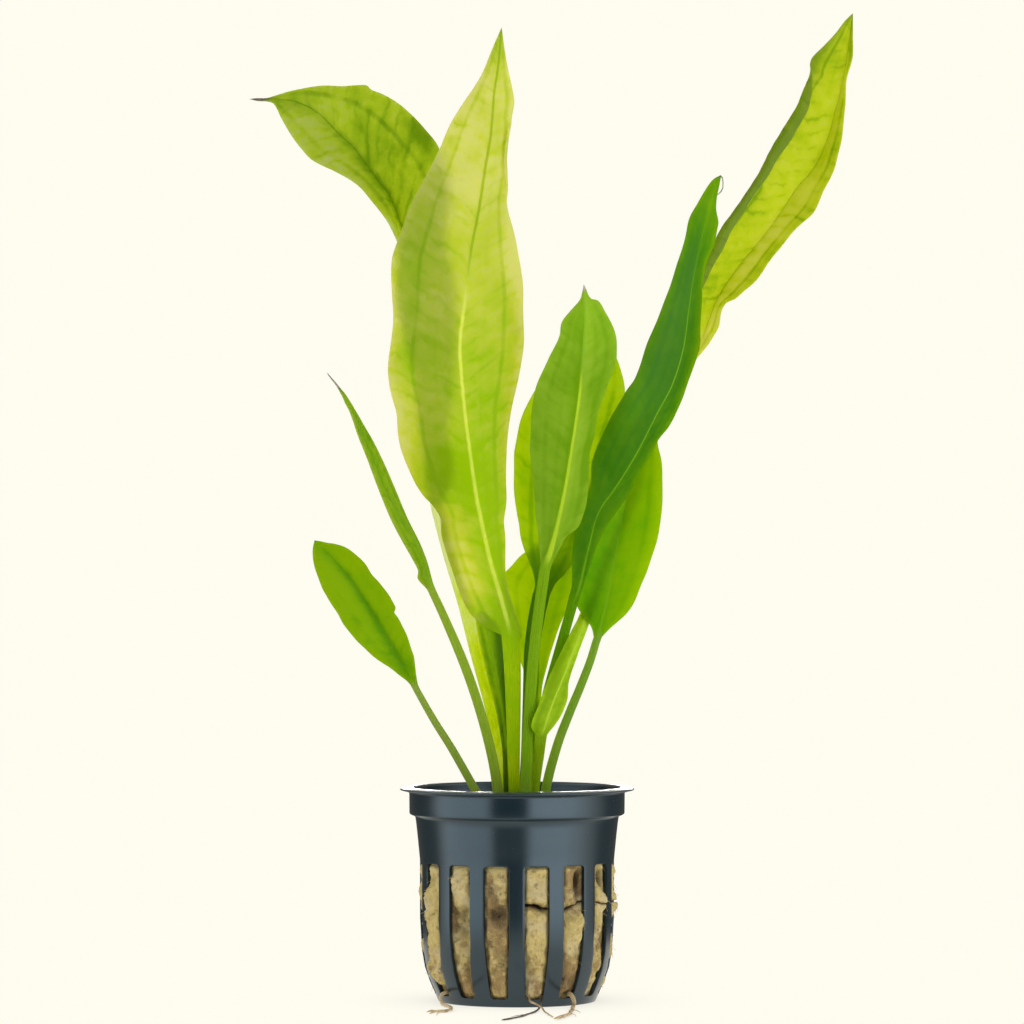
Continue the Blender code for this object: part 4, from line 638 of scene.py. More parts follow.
              (13.2, 98.5, -0.7), (13.2, 103.3, -1), (13.7, 109.3, -1.4), (15.6, 116.5, -1.5),
              (18, 122.5, -1.6), (21.1, 129, -1.3), (24.7, 135.5, -0.9), (28.6, 140.3, -0.3),
              (31.4, 142.2, 0)],
        right=[(20.4, 87.2, 0), (22.3, 89.2, -0.5), (24.7, 91.3, -1.1), (26.4, 93, -1.5),
               (28.3, 95.9, -2), (30, 100, -2.3), (31.4, 103.3, -2.6), (33.1, 108.8, -3),
               (34.3, 114.1, -3), (34.9, 118.9, -3), (35, 124.4, -2.6), (34.6, 129.7, -2),
               (33.8, 133.3, -1.6), (33.4, 138.1, -0.8), (31.4, 142.2, 0)],
    ),
    "leafInnerBack": dict(
        node="leaf_inner_back", slot="leaf_fresh", seed=20, wave=0.3, waveCount=3, buckle=0.2, cup=0.04,
        crossGap=3.8,
        spots=[(0.35, 0.5, 0.3, 0.6, 0.4, 0.05), (0.5, -0.7, 0.2, 0.4, -0.2, 0)],
        # Painted shade: its dark stalk lets little light through, standing in for the shade between the stalks
        # in front.
        look=dict(pale=(0.78, 0.92, 0.05), light=(0.74, 0.88, 0.01), deep=(0.60, 0.82, 0.004),
                  body=(0.26, 0.44, 0.006), deepBody=(0.18, 0.36, 0.003), ribLow=(0.1, 0.26, 0.01),
                  ribHigh=(0.2, 0.42, 0.02), stalk=(0.06, 0.2, 0.004), hue=0.5, hueTip=0.0,
                  stalkClear=0.3, ribWidth=0.5),
        stalk=[(0.8, 44, 2.3), (1.6, 51, 2.4), (3.2, 60, 4), (4.1, 65, 5.3), (4.9, 71, 7)],
        stalkWidth=(2.2, 1.8),
        rib=[(4.9, 71, 7), (5.3, 84, 10.4), (6, 96, 14.4), (9.4, 108, 18.8), (14.2, 117.7, 22.8),
             (19.9, 127.3, 27)],
        left=[(4.2, 71, 0), (1, 81, -0.8), (-1.2, 88, -1.4), (-3, 94, -1.9), (-4, 99.5, -2.2),
              (-3.2, 102.2, -2.3), (-1.2, 104.4, -2.4), (0.7, 106.6, -2.4), (5.3, 110.3, -2.2),
              (11.5, 120, -1.2), (19.9, 127.3, 0)],
        right=[(5.7, 71, 0), (6.2, 76.5, -0.5), (7.3, 80.5, -0.9), (8.3, 84, -1.2), (10.2, 89.5, -1.6),
               (12, 94.4, -2), (13.2, 98, -2.2), (15.4, 108, -2.2), (18.5, 117.7, -1.2),
               (19.9, 127.3, 0)],
    ),
    "leafFoldedYoung": dict(
        node="leaf_folded_young", slot="leaf_fresh", seed=21, wave=0.08, waveCount=2, buckle=0.05,
        cup=0.03, crossGap=3.0,
        spots=[(0.75, 0.4, 0.3, 0.6, -0.6, 0.0), (0.35, -0.5, 0.3, 0.5, 0.3, 0)],
        look=dict(pale=(0.92, 0.98, 0.22), light=(0.70, 0.84, 0.01), deep=(0.48, 0.72, 0.002),
                  body=(0.48, 0.70, 0.02), deepBody=(0.32, 0.48, 0.004), ribLow=(0.52, 0.66, 0.05),
                  ribHigh=(0.52, 0.66, 0.05), clear=0.5, ribHue=(-0.5, -0.5), stalk=(0.30, 0.48, 0.01),
                  stalkClear=0.5, hue=0.5, hueTip=0.0, crossStrength=0.5),
        stalk=[(4.1, 44, -3.2), (4.2, 51, -4), (4.7, 55.5, -5), (5.2, 59, -6.2), (5.8, 63.7, -8.8)],
        stalkWidth=(2.3, 2.8),
        rib=[(5.8, 63.7, -8.8), (6.9, 66.8, -9.4), (8.3, 70.7, -8.8), (11.2, 77.9, -6.6),
             (14, 85.3, -3.8), (17.4, 93.7, 1.9), (19.9, 98.5, 3.6)],
        left=[(4.4, 63.7, -0.4), (3.4, 66, -1.6), (5.2, 71, -1.4), (7.4, 77, -1), (10.9, 84.4, -0.3),
              (15.1, 92.3, 0.1), (19.9, 98.5, 0)],
        right=[(7.2, 63.7, 0), (10.3, 67.8, 1), (12, 72, 1.4), (12.4, 76.4, 1.2), (14.6, 83, 0.8),
               (17, 89.6, 0.4), (19.9, 98.5, 0)],
    ),
    "leafInnerYoung": dict(
        node="leaf_inner_young", slot="leaf_fresh", seed=22, wave=0.0, waveCount=2, buckle=0.0, cup=0.01,
        crossGap=3.0,
        # Painted shade: the first spot darkens the right half towards the dark shadow colour where it turns
        # away and lies behind other stalks, and the dark stalk lets little light through for the same shade.
        spots=[(0.35, 0.8, 0.6, 0.6, 0.8, 0.55), (0.5, -0.95, 0.5, 0.25, -0.4, -0.05)],
        look=dict(pale=(0.98, 0.98, 0.02), light=(0.78, 0.90, 0.005), deep=(0.40, 0.60, 0.001),
                  body=(0.40, 0.60, 0.01), deepBody=(0.18, 0.34, 0.002), ribLow=(0.3, 0.5, 0.01),
                  ribHigh=(0.3, 0.5, 0.01), clear=0.5, stalk=(0.10, 0.24, 0.004), hue=0.5, hueTip=0.0,
                  stalkClear=0.3, shadow=(0.03, 0.12, 0.002), crossStrength=0.2),
        stalk=[(-2.2, 44, -0.9), (-2.3, 51, -1), (-2.5, 60, -1.3)],
        stalkWidth=(1.9, 1.9),
        rib=[(-2.5, 60, -1.3), (-3.6, 70, -1.9), (-4.9, 78, -2.5), (-6.3, 85.3, -3), (-7.8, 90.5, -3.3),
             (-8.8, 94, -3.4)],
        left=[(-3.5, 60, 0), (-4.6, 67.3, 0.1), (-5.8, 72.5, 0.2), (-7.2, 78, 0.3), (-8.6, 84, 0.5),
              (-9.7, 89.5, 0.5), (-9.9, 92, 0.2), (-8.8, 94, 0)],
        right=[(-1.5, 60, 0), (-2, 70, 0.6), (-2.5, 78.8, 1.2), (-3.2, 86.5, 1.4), (-4.8, 91, 0.8),
               (-8.8, 94, 0)],
    ),
}


leafUsual = dict(         # what a leaf has where its own settings say nothing else
    ribFront=0.7,         # how far the rib stands out in front, as a share of its half height
    roll={}, ribPaintedShade={}, crossRise={},     # for one side or both
    spots=(), threads=(),
)

leafBuild = dict(
    columns=24,             # from the rib to a margin
    bladeRow=0.62,          # mm from one row to the next
    stalkRow=1.5,
    stalkFlatness=0.42,     # half thickness of a stalk, as a share of its width
    stalkEnd=1.9,           # width that the thickness tends to at the blade
    stalkGroove=0.10,
    grooves=9,              # how close together they are
    stalkTurn=(0.55, 1.0),  # shares of the stalk between which it turns in line with the blade
    stalkFade=(-0.03, 0.05),    # shares of the way to the tip between which it becomes the blade
    sheathHeight=41.3,      # where a stalk starts, down inside the crown
    sheathDraw=0.72,
    sheathFlare=1.45,       # how much wider it is there, and by which share of the stalk that has gone
    sheathShare=0.22,
    sheetHalf=0.15,         # half thickness of a blade
    marginRound=0.22,       # mm from a margin by which it is reached
    ribHalf=(0.42, 0.34),   # half width and half height of a rib once the stalk has died out
    ribFade=0.18,           # share of the blade over which it does
    ribTipLoss=0.72,
    ribBack=1.1,            # how far it stands out behind, as a share of its half height
    waveStart=0.12,         # share of the blade by which its waves have their full height
    cupReach=12,            # mm, the widest half blade that still cups more than a narrower one
    rollLimit=165,          # degrees that a margin turns at most
    crossRise=0.85,         # slope of the cross veins at the rib, and how much of it is lost at the margin
    crossLoss=0.31,
    crossStray=((0.12, 5.3), (0.10, 2.1)),  # how far they stray, in gaps between them, and over how many mm
    laneStray=(0.02, 7.0),
    quilt=0.10,             # mm that the leaf swells between two cross veins
    quiltFrom=(0.03, 0.2), quiltTo=(0.8, 1.0),  # and where, from the rib to the margin
    lanes=(0.33, 0.64, 0.86),       # where the lengthwise veins run, from the rib to the margin
)


def rollProfile(chord, curl, radius, shares):
    # A half blade seen along its length: flat out to where it starts to roll, then round and back.
    turn = np.minimum(curl / radius, math.radians(leafBuild["rollLimit"]))
    flat = chord - radius * np.sin(np.minimum(turn, math.pi / 2))
    whole = flat + curl
    s = shares[None, :] * whole[:, None]
    over = np.clip(s - flat[:, None], 0, None)
    angle = np.minimum(over / radius, turn[:, None])
    rest = over - radius * angle
    out = np.minimum(s, flat[:, None]) + radius * np.sin(angle) + rest * np.cos(angle)
    lift = radius * (1 - np.cos(angle)) + rest * np.sin(angle)
    return out, lift, whole


def lengthOf(line, samples):
    points = placed(line(np.linspace(0, 1, samples)))
    return np.linalg.norm(np.diff(points, axis=0), axis=1).sum()


def leafSections(leaf):
    # Every row's middle and margins, from the crown to the tip, and how thick the stalk or rib is there.
    b = leafBuild
    across, _, depth = leaf["stalk"][0]
    base = (across * b["sheathDraw"], b["sheathHeight"], depth * b["sheathDraw"])
    stalk, rib = lineThrough([base] + leaf["stalk"]), lineThrough(leaf["rib"])
    stalkLength, bladeLength = lengthOf(stalk, 60), lengthOf(rib, 80)
    stalkRows, bladeRows = int(stalkLength / b["stalkRow"]), int(bladeLength / b["bladeRow"])
    t, v = np.arange(stalkRows) / stalkRows, np.arange(bladeRows) / bladeRows
    low, high = leaf["stalkWidth"]
    half = (low + (high - low) * t) / 2 * (1 + (b["sheathFlare"] - 1) * (1 - step(0, b["sheathShare"], t)))
    thick = b["stalkFlatness"] * (low + (b["stalkEnd"] - low) * t)
    stalkLine, ribLine = placed(stalk(t)), rib(v)
    margins = []
    for side in ("left", "right"):
        line = lineThrough(leaf[side])(v)
        line[:, 2] += ribLine[:, 2]
        margins.append(placed(line))
    middle = np.concatenate([stalkLine, placed(ribLine)])
    along = unit(np.gradient(middle, axis=0))
    side = unit(np.cross(along[:stalkRows], np.array([0, 1.0, 0])))
    side[side[:, 0] < 0] *= -1
    bladeSide = unit(margins[1][1:2] - margins[0][1:2])
    turn = step(*b["stalkTurn"], t)[:, None]
    side = unit(side * (1 - turn) + bladeSide * turn) * half[:, None]
    fade = step(0, b["ribFade"], v)
    loss = 1 - b["ribTipLoss"] * v
    ends = (high / 2, b["stalkFlatness"] * b["stalkEnd"])
    ribWide, ribHigh = [(end + (rest - end) * fade) * loss for end, rest in zip(ends, b["ribHalf"])]
    return dict(
        middle=middle, along=along,
        left=np.concatenate([stalkLine - side, margins[0]]),
        right=np.concatenate([stalkLine + side, margins[1]]),
        share=np.concatenate([t - 1, v]),
        run=np.concatenate([(t - 1) * stalkLength, v * bladeLength]),
        ribWide=np.concatenate([half, ribWide]),
        ribHigh=np.concatenate([thick, ribHigh]),
        tip=placed(np.array([leaf["rib"][-1]]))[0],
    )


def spotted(leaf, along, across):       # how the soft spots change the light's hue and add painted shade, or painted light where below 0
    tone = paintedShade = 0 * (along + across)
    for middle, aside, long, wide, toneChange, shadeChange in leaf["spots"]:
        near = np.exp(-((along - middle) / long) ** 2 - ((across - aside) / wide) ** 2)
        tone, paintedShade = tone + toneChange * near, paintedShade + shadeChange * near
    return tone, paintedShade


def halfBlade(leaf, rows, name, sign, phase):
    # One side's middle surface as rows and columns, with what the veins and the finish need at each point.
    b = leafBuild
    w = 0.5 * (1 - np.cos(np.pi * np.arange(b["columns"] + 1) / b["columns"]))[None, :]
    blade = np.clip(rows["share"], 0, 1)
    onBlade = step(0.0, b["waveStart"], rows["share"])
    easing = (np.sin(np.pi * blade) ** 0.6 * onBlade)[:, None]
    chordLine = rows[name] - rows["middle"]
    chord = np.linalg.norm(chordLine, axis=1)
    outward = unit(chordLine)
    facing = unit(np.cross(outward * sign, rows["along"]))
    roll = leaf["roll"].get(name, dict(radius=1.0, curl=[(0, 0), (1, 0)]))
    curl = np.interp(blade, *zip(*roll["curl"])) * onBlade
    out, lift, whole = rollProfile(chord, curl, roll["radius"], w[0])
    swing = 2 * np.pi * leaf["waveCount"] * blade
    wave = (np.sin(swing + phase[0]) + 0.5 * np.sin(swing * 2.2 + phase[1]))[:, None]
    lift = lift + leaf["wave"] * wave * easing * w ** 2
    lift = lift + leaf["buckle"] * np.sin(swing * 0.8 + phase[2])[:, None] * easing * np.sin(np.pi * w)
    lift = lift + leaf["cup"] * np.minimum(chord, b["cupReach"])[:, None] * easing * 4 * w * (1 - w)
    gap = w * whole[:, None]
    run = rows["run"][:, None]
    rise = leaf["crossRise"].get(name, b["crossRise"]) * gap * (1 - b["crossLoss"] * w)
    (alongSize, alongLength), (outSize, outLength) = b["crossStray"]
    stray = alongSize * np.sin(run / alongLength + phase[3]) + outSize * np.sin(gap / outLength + phase[1])
    rung = (run - rise) / leaf["crossGap"] + stray + (0.5 if sign > 0 else 0)
    swell = np.sin(np.pi * rung) ** 2 * step(*b["quiltFrom"], w) * (1 - step(*b["quiltTo"], w))
    lift = lift + b["quilt"] * swell * easing
    tone, paintedShade = spotted(leaf, rows["share"][:, None], sign * w)
    # Painted shade along the rib on this side, where the blade turns away from the light.
    shadeThere, toneThere, reach = leaf["ribPaintedShade"].get(name, (0, 0, 1))
    near = np.exp(-(gap / reach) ** 2) * easing
    laneSize, laneLength = b["laneStray"]
    return dict(
        place=rows["middle"][:, None] + outward[:, None] * out[..., None] + facing[:, None] * lift[..., None],
        gap=gap, edge=whole[:, None] * (1 - w), rung=rung,
        lane=w + laneSize * np.sin(run / laneLength + phase[0]) * np.sin(np.pi * w),
        span=np.broadcast_to(whole[:, None], gap.shape),
        tone=tone + toneThere * near, paintedShade=paintedShade + shadeThere * near,
    )


def leafGrid(leaf, rows):
    rng = np.random.default_rng(leaf["seed"])
    halves = [halfBlade(leaf, rows, name, sign, rng.uniform(0, 2 * np.pi, 4))
              for name, sign in (("left", -1), ("right", 1))]
    return {key: np.concatenate([halves[0][key][:, :0:-1], halves[1][key]], axis=1) for key in halves[0]}


def wrapped(front, back):               # both faces of a leaf as closed rows around it
    return np.concatenate([front, back[:, -2:0:-1]], axis=1)


def leafUnrolled(count, size, threadFaces):
    # The bake's map: around the leaf across it, from the crown to the tip up it, and threads in a corner.
    across = np.arange(size + 1) / size
    up = (np.arange(count) + 0.5) / (count + 1)
    corners = []
    for low, high in zip(up, up[1:]):
        for left, right in zip(across, across[1:]):
            corners += [left, low, right, low, right, high, left, high]
    for left, right in zip(across, across[1:]):
        corners += [left, 0, right, up[0], left, up[0]]
    for left, right in zip(across, across[1:]):
        corners += [left, up[-1], right, up[-1], left, 1]
    for face in threadFaces:
        corners += [0.5, 0.999, 0.502, 0.999, 0.502, 1.0, 0.5, 1.0][:2 * len(face)]
    return np.array(corners, np.float32)


def leafHeights(leaf, rows, grid):      # how far a leaf's front and back lie from its middle surface
    b = leafBuild
    acrossRib = grid["gap"] / rows["ribWide"][:, None]
    onStalk = (1 - step(*b["stalkFade"], rows["share"]))[:, None]
    groove = 1 - b["stalkGroove"] * onStalk * np.cos(acrossRib * b["grooves"]) ** 2
    ribHigh = rows["ribHigh"][:, None] * np.clip(1 - acrossRib ** 2, 0, 1) ** 0.5 * groove
    sheet = b["sheetHalf"] * (1 - onStalk) * np.clip(grid["edge"] / b["marginRound"], 0, 1) ** 0.5
    shares = (leaf["ribFront"], b["ribBack"])
    return [np.maximum(sheet, ribHigh * (onStalk + (1 - onStalk) * share)) for share in shares]


def leafMesh(name, leaf):
    rows = leafSections(leaf)
    grid = leafGrid(leaf, rows)
    place = grid["place"]
    normal = unit(np.cross(np.gradient(place, axis=1), np.gradient(place, axis=0)))
    front, back = [normal * high[..., None] for high in leafHeights(leaf, rows, grid)]
    ring = wrapped(place + front, place - back)
    count, size = ring.shape[:2]
    verts = np.concatenate([ring.reshape(-1, 3), ring[0].mean(axis=0)[None], rows["tip"][None]])
    faces = ringFaces(count, size)
    threadFaces, extra = [], 0
    for line, width in leaf["threads"]:
        points, ends = tube(placed(np.array(line)), width, 6)
        threadFaces += [[k + len(verts) for k in face] for face in ends]
        verts = np.concatenate([verts, points])
        extra += len(points)
    mesh = meshOf(name, verts, faces + threadFaces)
    for key in ("lane", "span", "rung", "tone", "paintedShade"):
        values = wrapped(grid[key], grid[key]).reshape(-1)
        values = np.concatenate([values, [values[:size].mean(), values[-size:].mean()], np.zeros(extra)])
        storeValues(mesh, key, values)
    for key, threadValue in (("share", 1.0), ("run", 0.0)):
        values = np.repeat(rows[key], size)
        storeValues(mesh, key, np.concatenate([values, values[[0, -1]], np.full(extra, threadValue)]))
    mesh.uv_layers.new(name="OFBake").data.foreach_set("uv", leafUnrolled(count, size, threadFaces))
    return smoothed(mesh)


leafSkin = dict(
    roughness=0.42,
    shine=0.06,
    stalkFade=(-0.02, 0.04),    # shares of the way to the tip between which the stalk becomes the blade
    rooted=(-1.0, -0.72),       # and between which it leaves the crown
    crossWidth=(0.0, 0.22),     # a cross vein from its middle to its edge, as a share of the gap between two
    crossSpan=(1.5, 4.0),       # mm, half blades this narrow have none, and this wide all of them
    bend=0.0012,                # m that the cells' and the net's borders bend
    # How many waves of each noise there are to a metre, from broad patches to the finest grain.
    patchScale=75.0, crossScale=160.0, mottleScale=300.0, bendScale=500.0, cellScale=620.0, fineScale=900.0,
    netScale=1150.0,
    hueNoise=0.3,               # how much the broad patches change the light's hue
    edgeFade=-1.1,              # how fast the pale edge fades inwards, per mm
    dryWidth=0.025,             # share of the way to the tip over which a dry tip starts
    dryBrown=(0.13, 0.085, 0.045),
    dryPale=(0.42, 0.37, 0.27),
    sheath=(0.20, 0.23, 0.07),
)

lookUsual = dict(             # what a look has where a leaf says nothing else
    clear=0.74, stalkClear=0.62,    # share of the light that a blade and a stalk let through
    laneStrength=(0.12, 0.60, 0.05),
    laneWidth=(0.10, 1.0),    # mm, a lengthwise vein from its middle to its edge
    crossStrength=1.0,
    ribWidth=0.42,            # mm from its middle to its edge
    ribTurn=(0.35, 0.62),     # shares of the blade between which the rib goes from its low to its high colour
    ribHue=(-0.2, 0.3),       # how much deeper the light is that shines through the rib, low and high
    ribBlock=0.16,
    feather=0.9, veinHue=0.6, paleEdge=0.3,     # how much each of these changes the light's hue
)


def leafMarks(g, look):
    # Where the stalk, the rib, the veins and the cells are, and the noises that the finish is mixed from.
    s = leafSkin
    place = g.place()
    marks = {key: g.attribute(key) for key in ("lane", "span", "rung", "share", "run", "tone", "paintedShade")}
    lane, span = marks["lane"], marks["span"]
    upper = marks["share"].clamped()
    onStalk = 1 - marks["share"].ramp(*s["stalkFade"])
    patches = g.noise(place, s["patchScale"], detail=4.0).ramp(0.3, 0.7)
    mottle, fine = g.noise(place, s["mottleScale"]), g.noise(place, s["fineScale"])
    ribEdge = look["ribWidth"] * (1 - upper * 0.55)
    rib = 1 - (lane * span).ramp(ribEdge * 0.3, ribEdge)
    lengthwise = 0.0
    for position, strength in zip(leafBuild["lanes"], look["laneStrength"]):
        gap = (lane - position + (mottle - 0.5) * 0.05).maths("ABSOLUTE") * span
        lengthwise = (1 - gap.ramp(*look["laneWidth"])) * strength * patches.ramp(-0.6, 0.7) + lengthwise
    rung = marks["rung"] + (mottle - 0.5) * 0.9 + (fine - 0.5) * 0.25
    cross = (1 - rung.maths("PINGPONG", 0.5).ramp(*s["crossWidth"])) * span.ramp(*s["crossSpan"])
    cross = cross * g.noise(place, s["crossScale"], detail=2.0).ramp(0.38, 0.68) * look["crossStrength"]
    bent = g.node("ShaderNodeVectorMath", dict(operation="MULTIPLY_ADD"),
                  {0: g.noise(place, s["bendScale"], detail=2.0).out("Color"), 1: (s["bend"],) * 3, 2: place})
    edges = g.node("ShaderNodeTexVoronoi", dict(feature="DISTANCE_TO_EDGE"),
                   dict(Vector=bent, Scale=s["netScale"]), output="Distance")
    cells = g.node("ShaderNodeTexVoronoi", dict(feature="SMOOTH_F1"),
                   dict(Vector=bent, Scale=s["cellScale"]), output="Color")
    net = 1 - edges.ramp(0.02, 0.22)
    return dict(
        marks, upper=upper, onStalk=onStalk, patches=patches, mottle=mottle, fine=fine, rib=rib, edges=edges,
        veins=(lengthwise + cross * 0.40 + net * 0.08).clamped() * (1 - onStalk),
        ribUp=upper.ramp(*look["ribTurn"]),
        cells=g.node("ShaderNodeSeparateColor", {}, dict(Color=cells), output="Red"),
        feather=g.noise(g.combined(rung * 1.7, lane * 1.6), 1.0, detail=4.0, roughness=0.6),
        streaks=g.noise(g.combined(lane * 26, marks["run"] * 0.05), 1.0, detail=2.0),
        rooted=1 - marks["share"].ramp(*s["rooted"]),
    )


def leafHue(marks, look):
    # 0 where the light that shines through is pale, 1 where it is deep.
    hue = look["hue"] + look["hueTip"] * marks["upper"] + marks["tone"]
    hue = hue + (marks["patches"] - 0.5) * leafSkin["hueNoise"] + (marks["mottle"] - 0.5) * 0.35
    hue = hue + (marks["cells"] - 0.5) * 0.16 + (marks["feather"] - 0.5) * look["feather"]
    paleEdge = ((1 - marks["lane"]) * marks["span"] * leafSkin["edgeFade"]).maths("EXPONENT")
    hue = hue - paleEdge * look["paleEdge"] + marks["veins"] * look["veinHue"]
    low, high = look["ribHue"]
    return (hue + marks["rib"] * (1 - marks["onStalk"]) * (marks["ribUp"] * (high - low) + low)).clamped()


def leafGlow(g, hue, look):             # the light that shines through, from pale through light to deep
    pale, light, deep = [g.node("ShaderNodeBsdfTranslucent", {}, dict(Color=(*look[tint], 1.0)))
                         for tint in ("pale", "light", "deep")]
    lower = g.node("ShaderNodeMixShader", {}, {0: (hue * 2).clamped(), 1: pale, 2: light})
    return g.node("ShaderNodeMixShader", {}, {0: (hue * 2 - 1).clamped(), 1: lower, 2: deep})


def leafColour(g, marks, hue, look):        # of the light that the leaf throws back
    onStalk, rib = marks["onStalk"], marks["rib"]
    colour = g.mixColour(hue, look["body"], look["deepBody"])
    shadow = look.get("shadow", darker(look["body"], 0.45))
    # Veins darken the colour, and the painted shade of the spots and rib bands pulls it towards the shadow
    # colour.
    colour = g.mixColour((marks["veins"] * 0.35 + marks["paintedShade"] * 1.2).clamped(), colour, shadow)
    # The rib's colour, low and high: its own paler tone, which also paints the highlight along its ridge.
    ribColour = g.mixColour(marks["ribUp"], look["ribLow"], look["ribHigh"])
    colour = g.mixColour(rib * (1 - onStalk) * 0.9, colour, ribColour)
    stalk = g.mixColour(marks["streaks"].ramp(0.3, 0.7), look["stalk"], darker(look["stalk"], 0.6))
    stalk = g.mixColour(marks["rooted"] * 0.6, stalk, leafSkin["sheath"])
    return g.mixColour(onStalk, colour, stalk)


def leafClearness(marks, look):             # share of the light that shines through
    veins, cells, rib = marks["veins"], marks["cells"], marks["rib"]
    blade = look["clear"] - veins * 0.07 - (1 - marks["feather"].ramp(0.3, 0.62)) * 0.05
    # Painted shade also lets less light through, and painted light (below 0) lets more through.
    blade = blade - rib * look["ribBlock"] - marks["paintedShade"] + (cells - 0.5) * 0.05
    stalk = look["stalkClear"] - marks["rooted"] * 0.35 - (marks["streaks"] - 0.5) * 0.25
    return blade * (1 - marks["onStalk"]) + marks["onStalk"] * stalk


def leafFinish(name, look):
    s = leafSkin
    material, g = newMaterial(name)
    marks = leafMarks(g, look)
    mottle = marks["mottle"]
    hue = leafHue(marks, look)
    colour, clear = leafColour(g, marks, hue, look), leafClearness(marks, look)
    rough = s["roughness"] + (mottle - 0.5) * 0.2
    if "dryFrom" in look:
        dry = (marks["share"] + (mottle - 0.5) * 0.02).ramp(look["dryFrom"], look["dryFrom"] + s["dryWidth"])
        colour = g.mixColour(dry, colour, g.mixColour(mottle.ramp(0.35, 0.65), s["dryBrown"], s["dryPale"]))
        clear = clear * (1 - dry * 0.8)
        rough = rough + dry * 0.3
    relief = marks["rib"] * 0.5 + marks["veins"] * 0.6 + marks["edges"].ramp(0.0, 0.4) * 0.3
    relief = relief + marks["streaks"] * marks["onStalk"] * 0.8 + marks["fine"] * 0.2
    body = g.body(colour, rough, s["shine"], g.bump(relief, 0.3, 0.00012))
    surface(g, g.node("ShaderNodeMixShader", {}, {0: clear.clamped(), 1: body, 2: leafGlow(g, hue, look)}))
    return material


def makeLeaves():
    for name, leaf in leaves.items():
        mesh = leafMesh(name, {**leafUsual, **leaf})
        mesh.materials.append(leafFinish(name + "Skin", {**lookUsual, **leaf["look"]}))
        keep(link(bpy.data.objects.new(name, mesh)), [leaf["node"]])


makeLeaves()
print("leaves ready")


def bakedMesh(name, mesh, tree, inputs):      # what a geometry tree makes of a mesh or curve, as a plain mesh
    holder = link(bpy.data.objects.new(name + "Holder", mesh))
    modifier = holder.modifiers.new("build", "NODES")
    modifier.node_group = tree
    for item in tree.interface.items_tree:
        if item.in_out == "INPUT" and item.name in inputs:
            modifier[item.identifier] = inputs[item.name]
    graph = bpy.context.evaluated_depsgraph_get()
    result = bpy.data.meshes.new_from_object(holder.evaluated_get(graph))
    result.name = name
    bpy.data.objects.remove(holder)
    return result


def geometryTree(name, sockets):
    tree = bpy.data.node_groups.new(name, "GeometryNodeTree")
    tree.interface.new_socket("Geometry", in_out="INPUT", socket_type="NodeSocketGeometry")
    tree.interface.new_socket("Geometry", in_out="OUTPUT", socket_type="NodeSocketGeometry")
    for socketName, kind in sockets.items():
        tree.interface.new_socket(socketName, in_out="INPUT", socket_type="NodeSocket" + kind)
    g = Graph(tree)
    return tree, g, g.node("NodeGroupInput", {}, {})


def finishTree(g, geometry, material):
    real = g.node("GeometryNodeRealizeInstances", {}, dict(Geometry=geometry))
    coloured = g.node("GeometryNodeSetMaterial", {}, dict(Geometry=real, Material=material))
    g.node("NodeGroupOutput", {}, dict(Geometry=coloured))


def repeatAround(name, sector, copies, material):
    tree, g, given = geometryTree(name + "Around", dict(Copies="Int", MergeGap="Float"))
    spots = g.node("GeometryNodeMeshLine", {}, {"Count": given.out("Copies"), "Offset": (0.0, 0.0, 0.0)})
    index = g.node("GeometryNodeInputIndex", {}, {})
    turn = g.combined(z=index * (2 * math.pi) / given.out("Copies"))
    around = g.node("GeometryNodeInstanceOnPoints", {}, dict(Points=spots, Instance=given, Rotation=turn))
    real = g.node("GeometryNodeRealizeInstances", {}, dict(Geometry=around))
    merged = g.node("GeometryNodeMergeByDistance", {}, dict(Geometry=real, Distance=given.out("MergeGap")))
    finishTree(g, merged, material)
    return bakedMesh(name, sector, tree, dict(Copies=copies, MergeGap=0.02 * mm))


def thickSector(name, chain, outside, inside, halfTurn, sideCells, openCells):
    # One opening with half of what stands on each side of it. The chain is the section as (radius, up, half
    # the opening's angle); outside and inside are its rows along the opening, facing each other.
    wide = 2 * sideCells + openCells + 1
    verts = []
    for radius, up, opening in chain:
        turns = [-halfTurn + (halfTurn - opening) * j / sideCells for j in range(sideCells)]
        turns += [-opening + 2 * opening * j / openCells for j in range(openCells)]
        turns += [opening + (halfTurn - opening) * j / sideCells for j in range(sideCells + 1)]
        for turn in turns:
            a = math.radians(turn)
            verts.append((radius * math.sin(a), -radius * math.cos(a), up))
    first, last = sideCells, sideCells + openCells
    gone = set(zip(outside, outside[1:])) | {(b, a) for a, b in zip(inside, inside[1:])}
    faces = []
    for i in range(len(chain)):
        after = (i + 1) % len(chain)
        for j in range(wide - 1):
            if first <= j < last and (i, after) in gone:
                continue
            faces.append((i * wide + j, i * wide + j + 1, after * wide + j + 1, after * wide + j))
    for k in range(len(outside) - 1):
        a, b, c, d = outside[k], outside[k + 1], inside[k + 1], inside[k]
        for j in (first, last):
            faces.append(tuple(row * wide + j for row in (a, b, c, d)))
    for k in (0, -1):
        a, d = outside[k], inside[k]
        for j in range(first, last):
            faces.append((a * wide + j, a * wide + j + 1, d * wide + j + 1, d * wide + j))
    return meshOf(name, verts, faces)


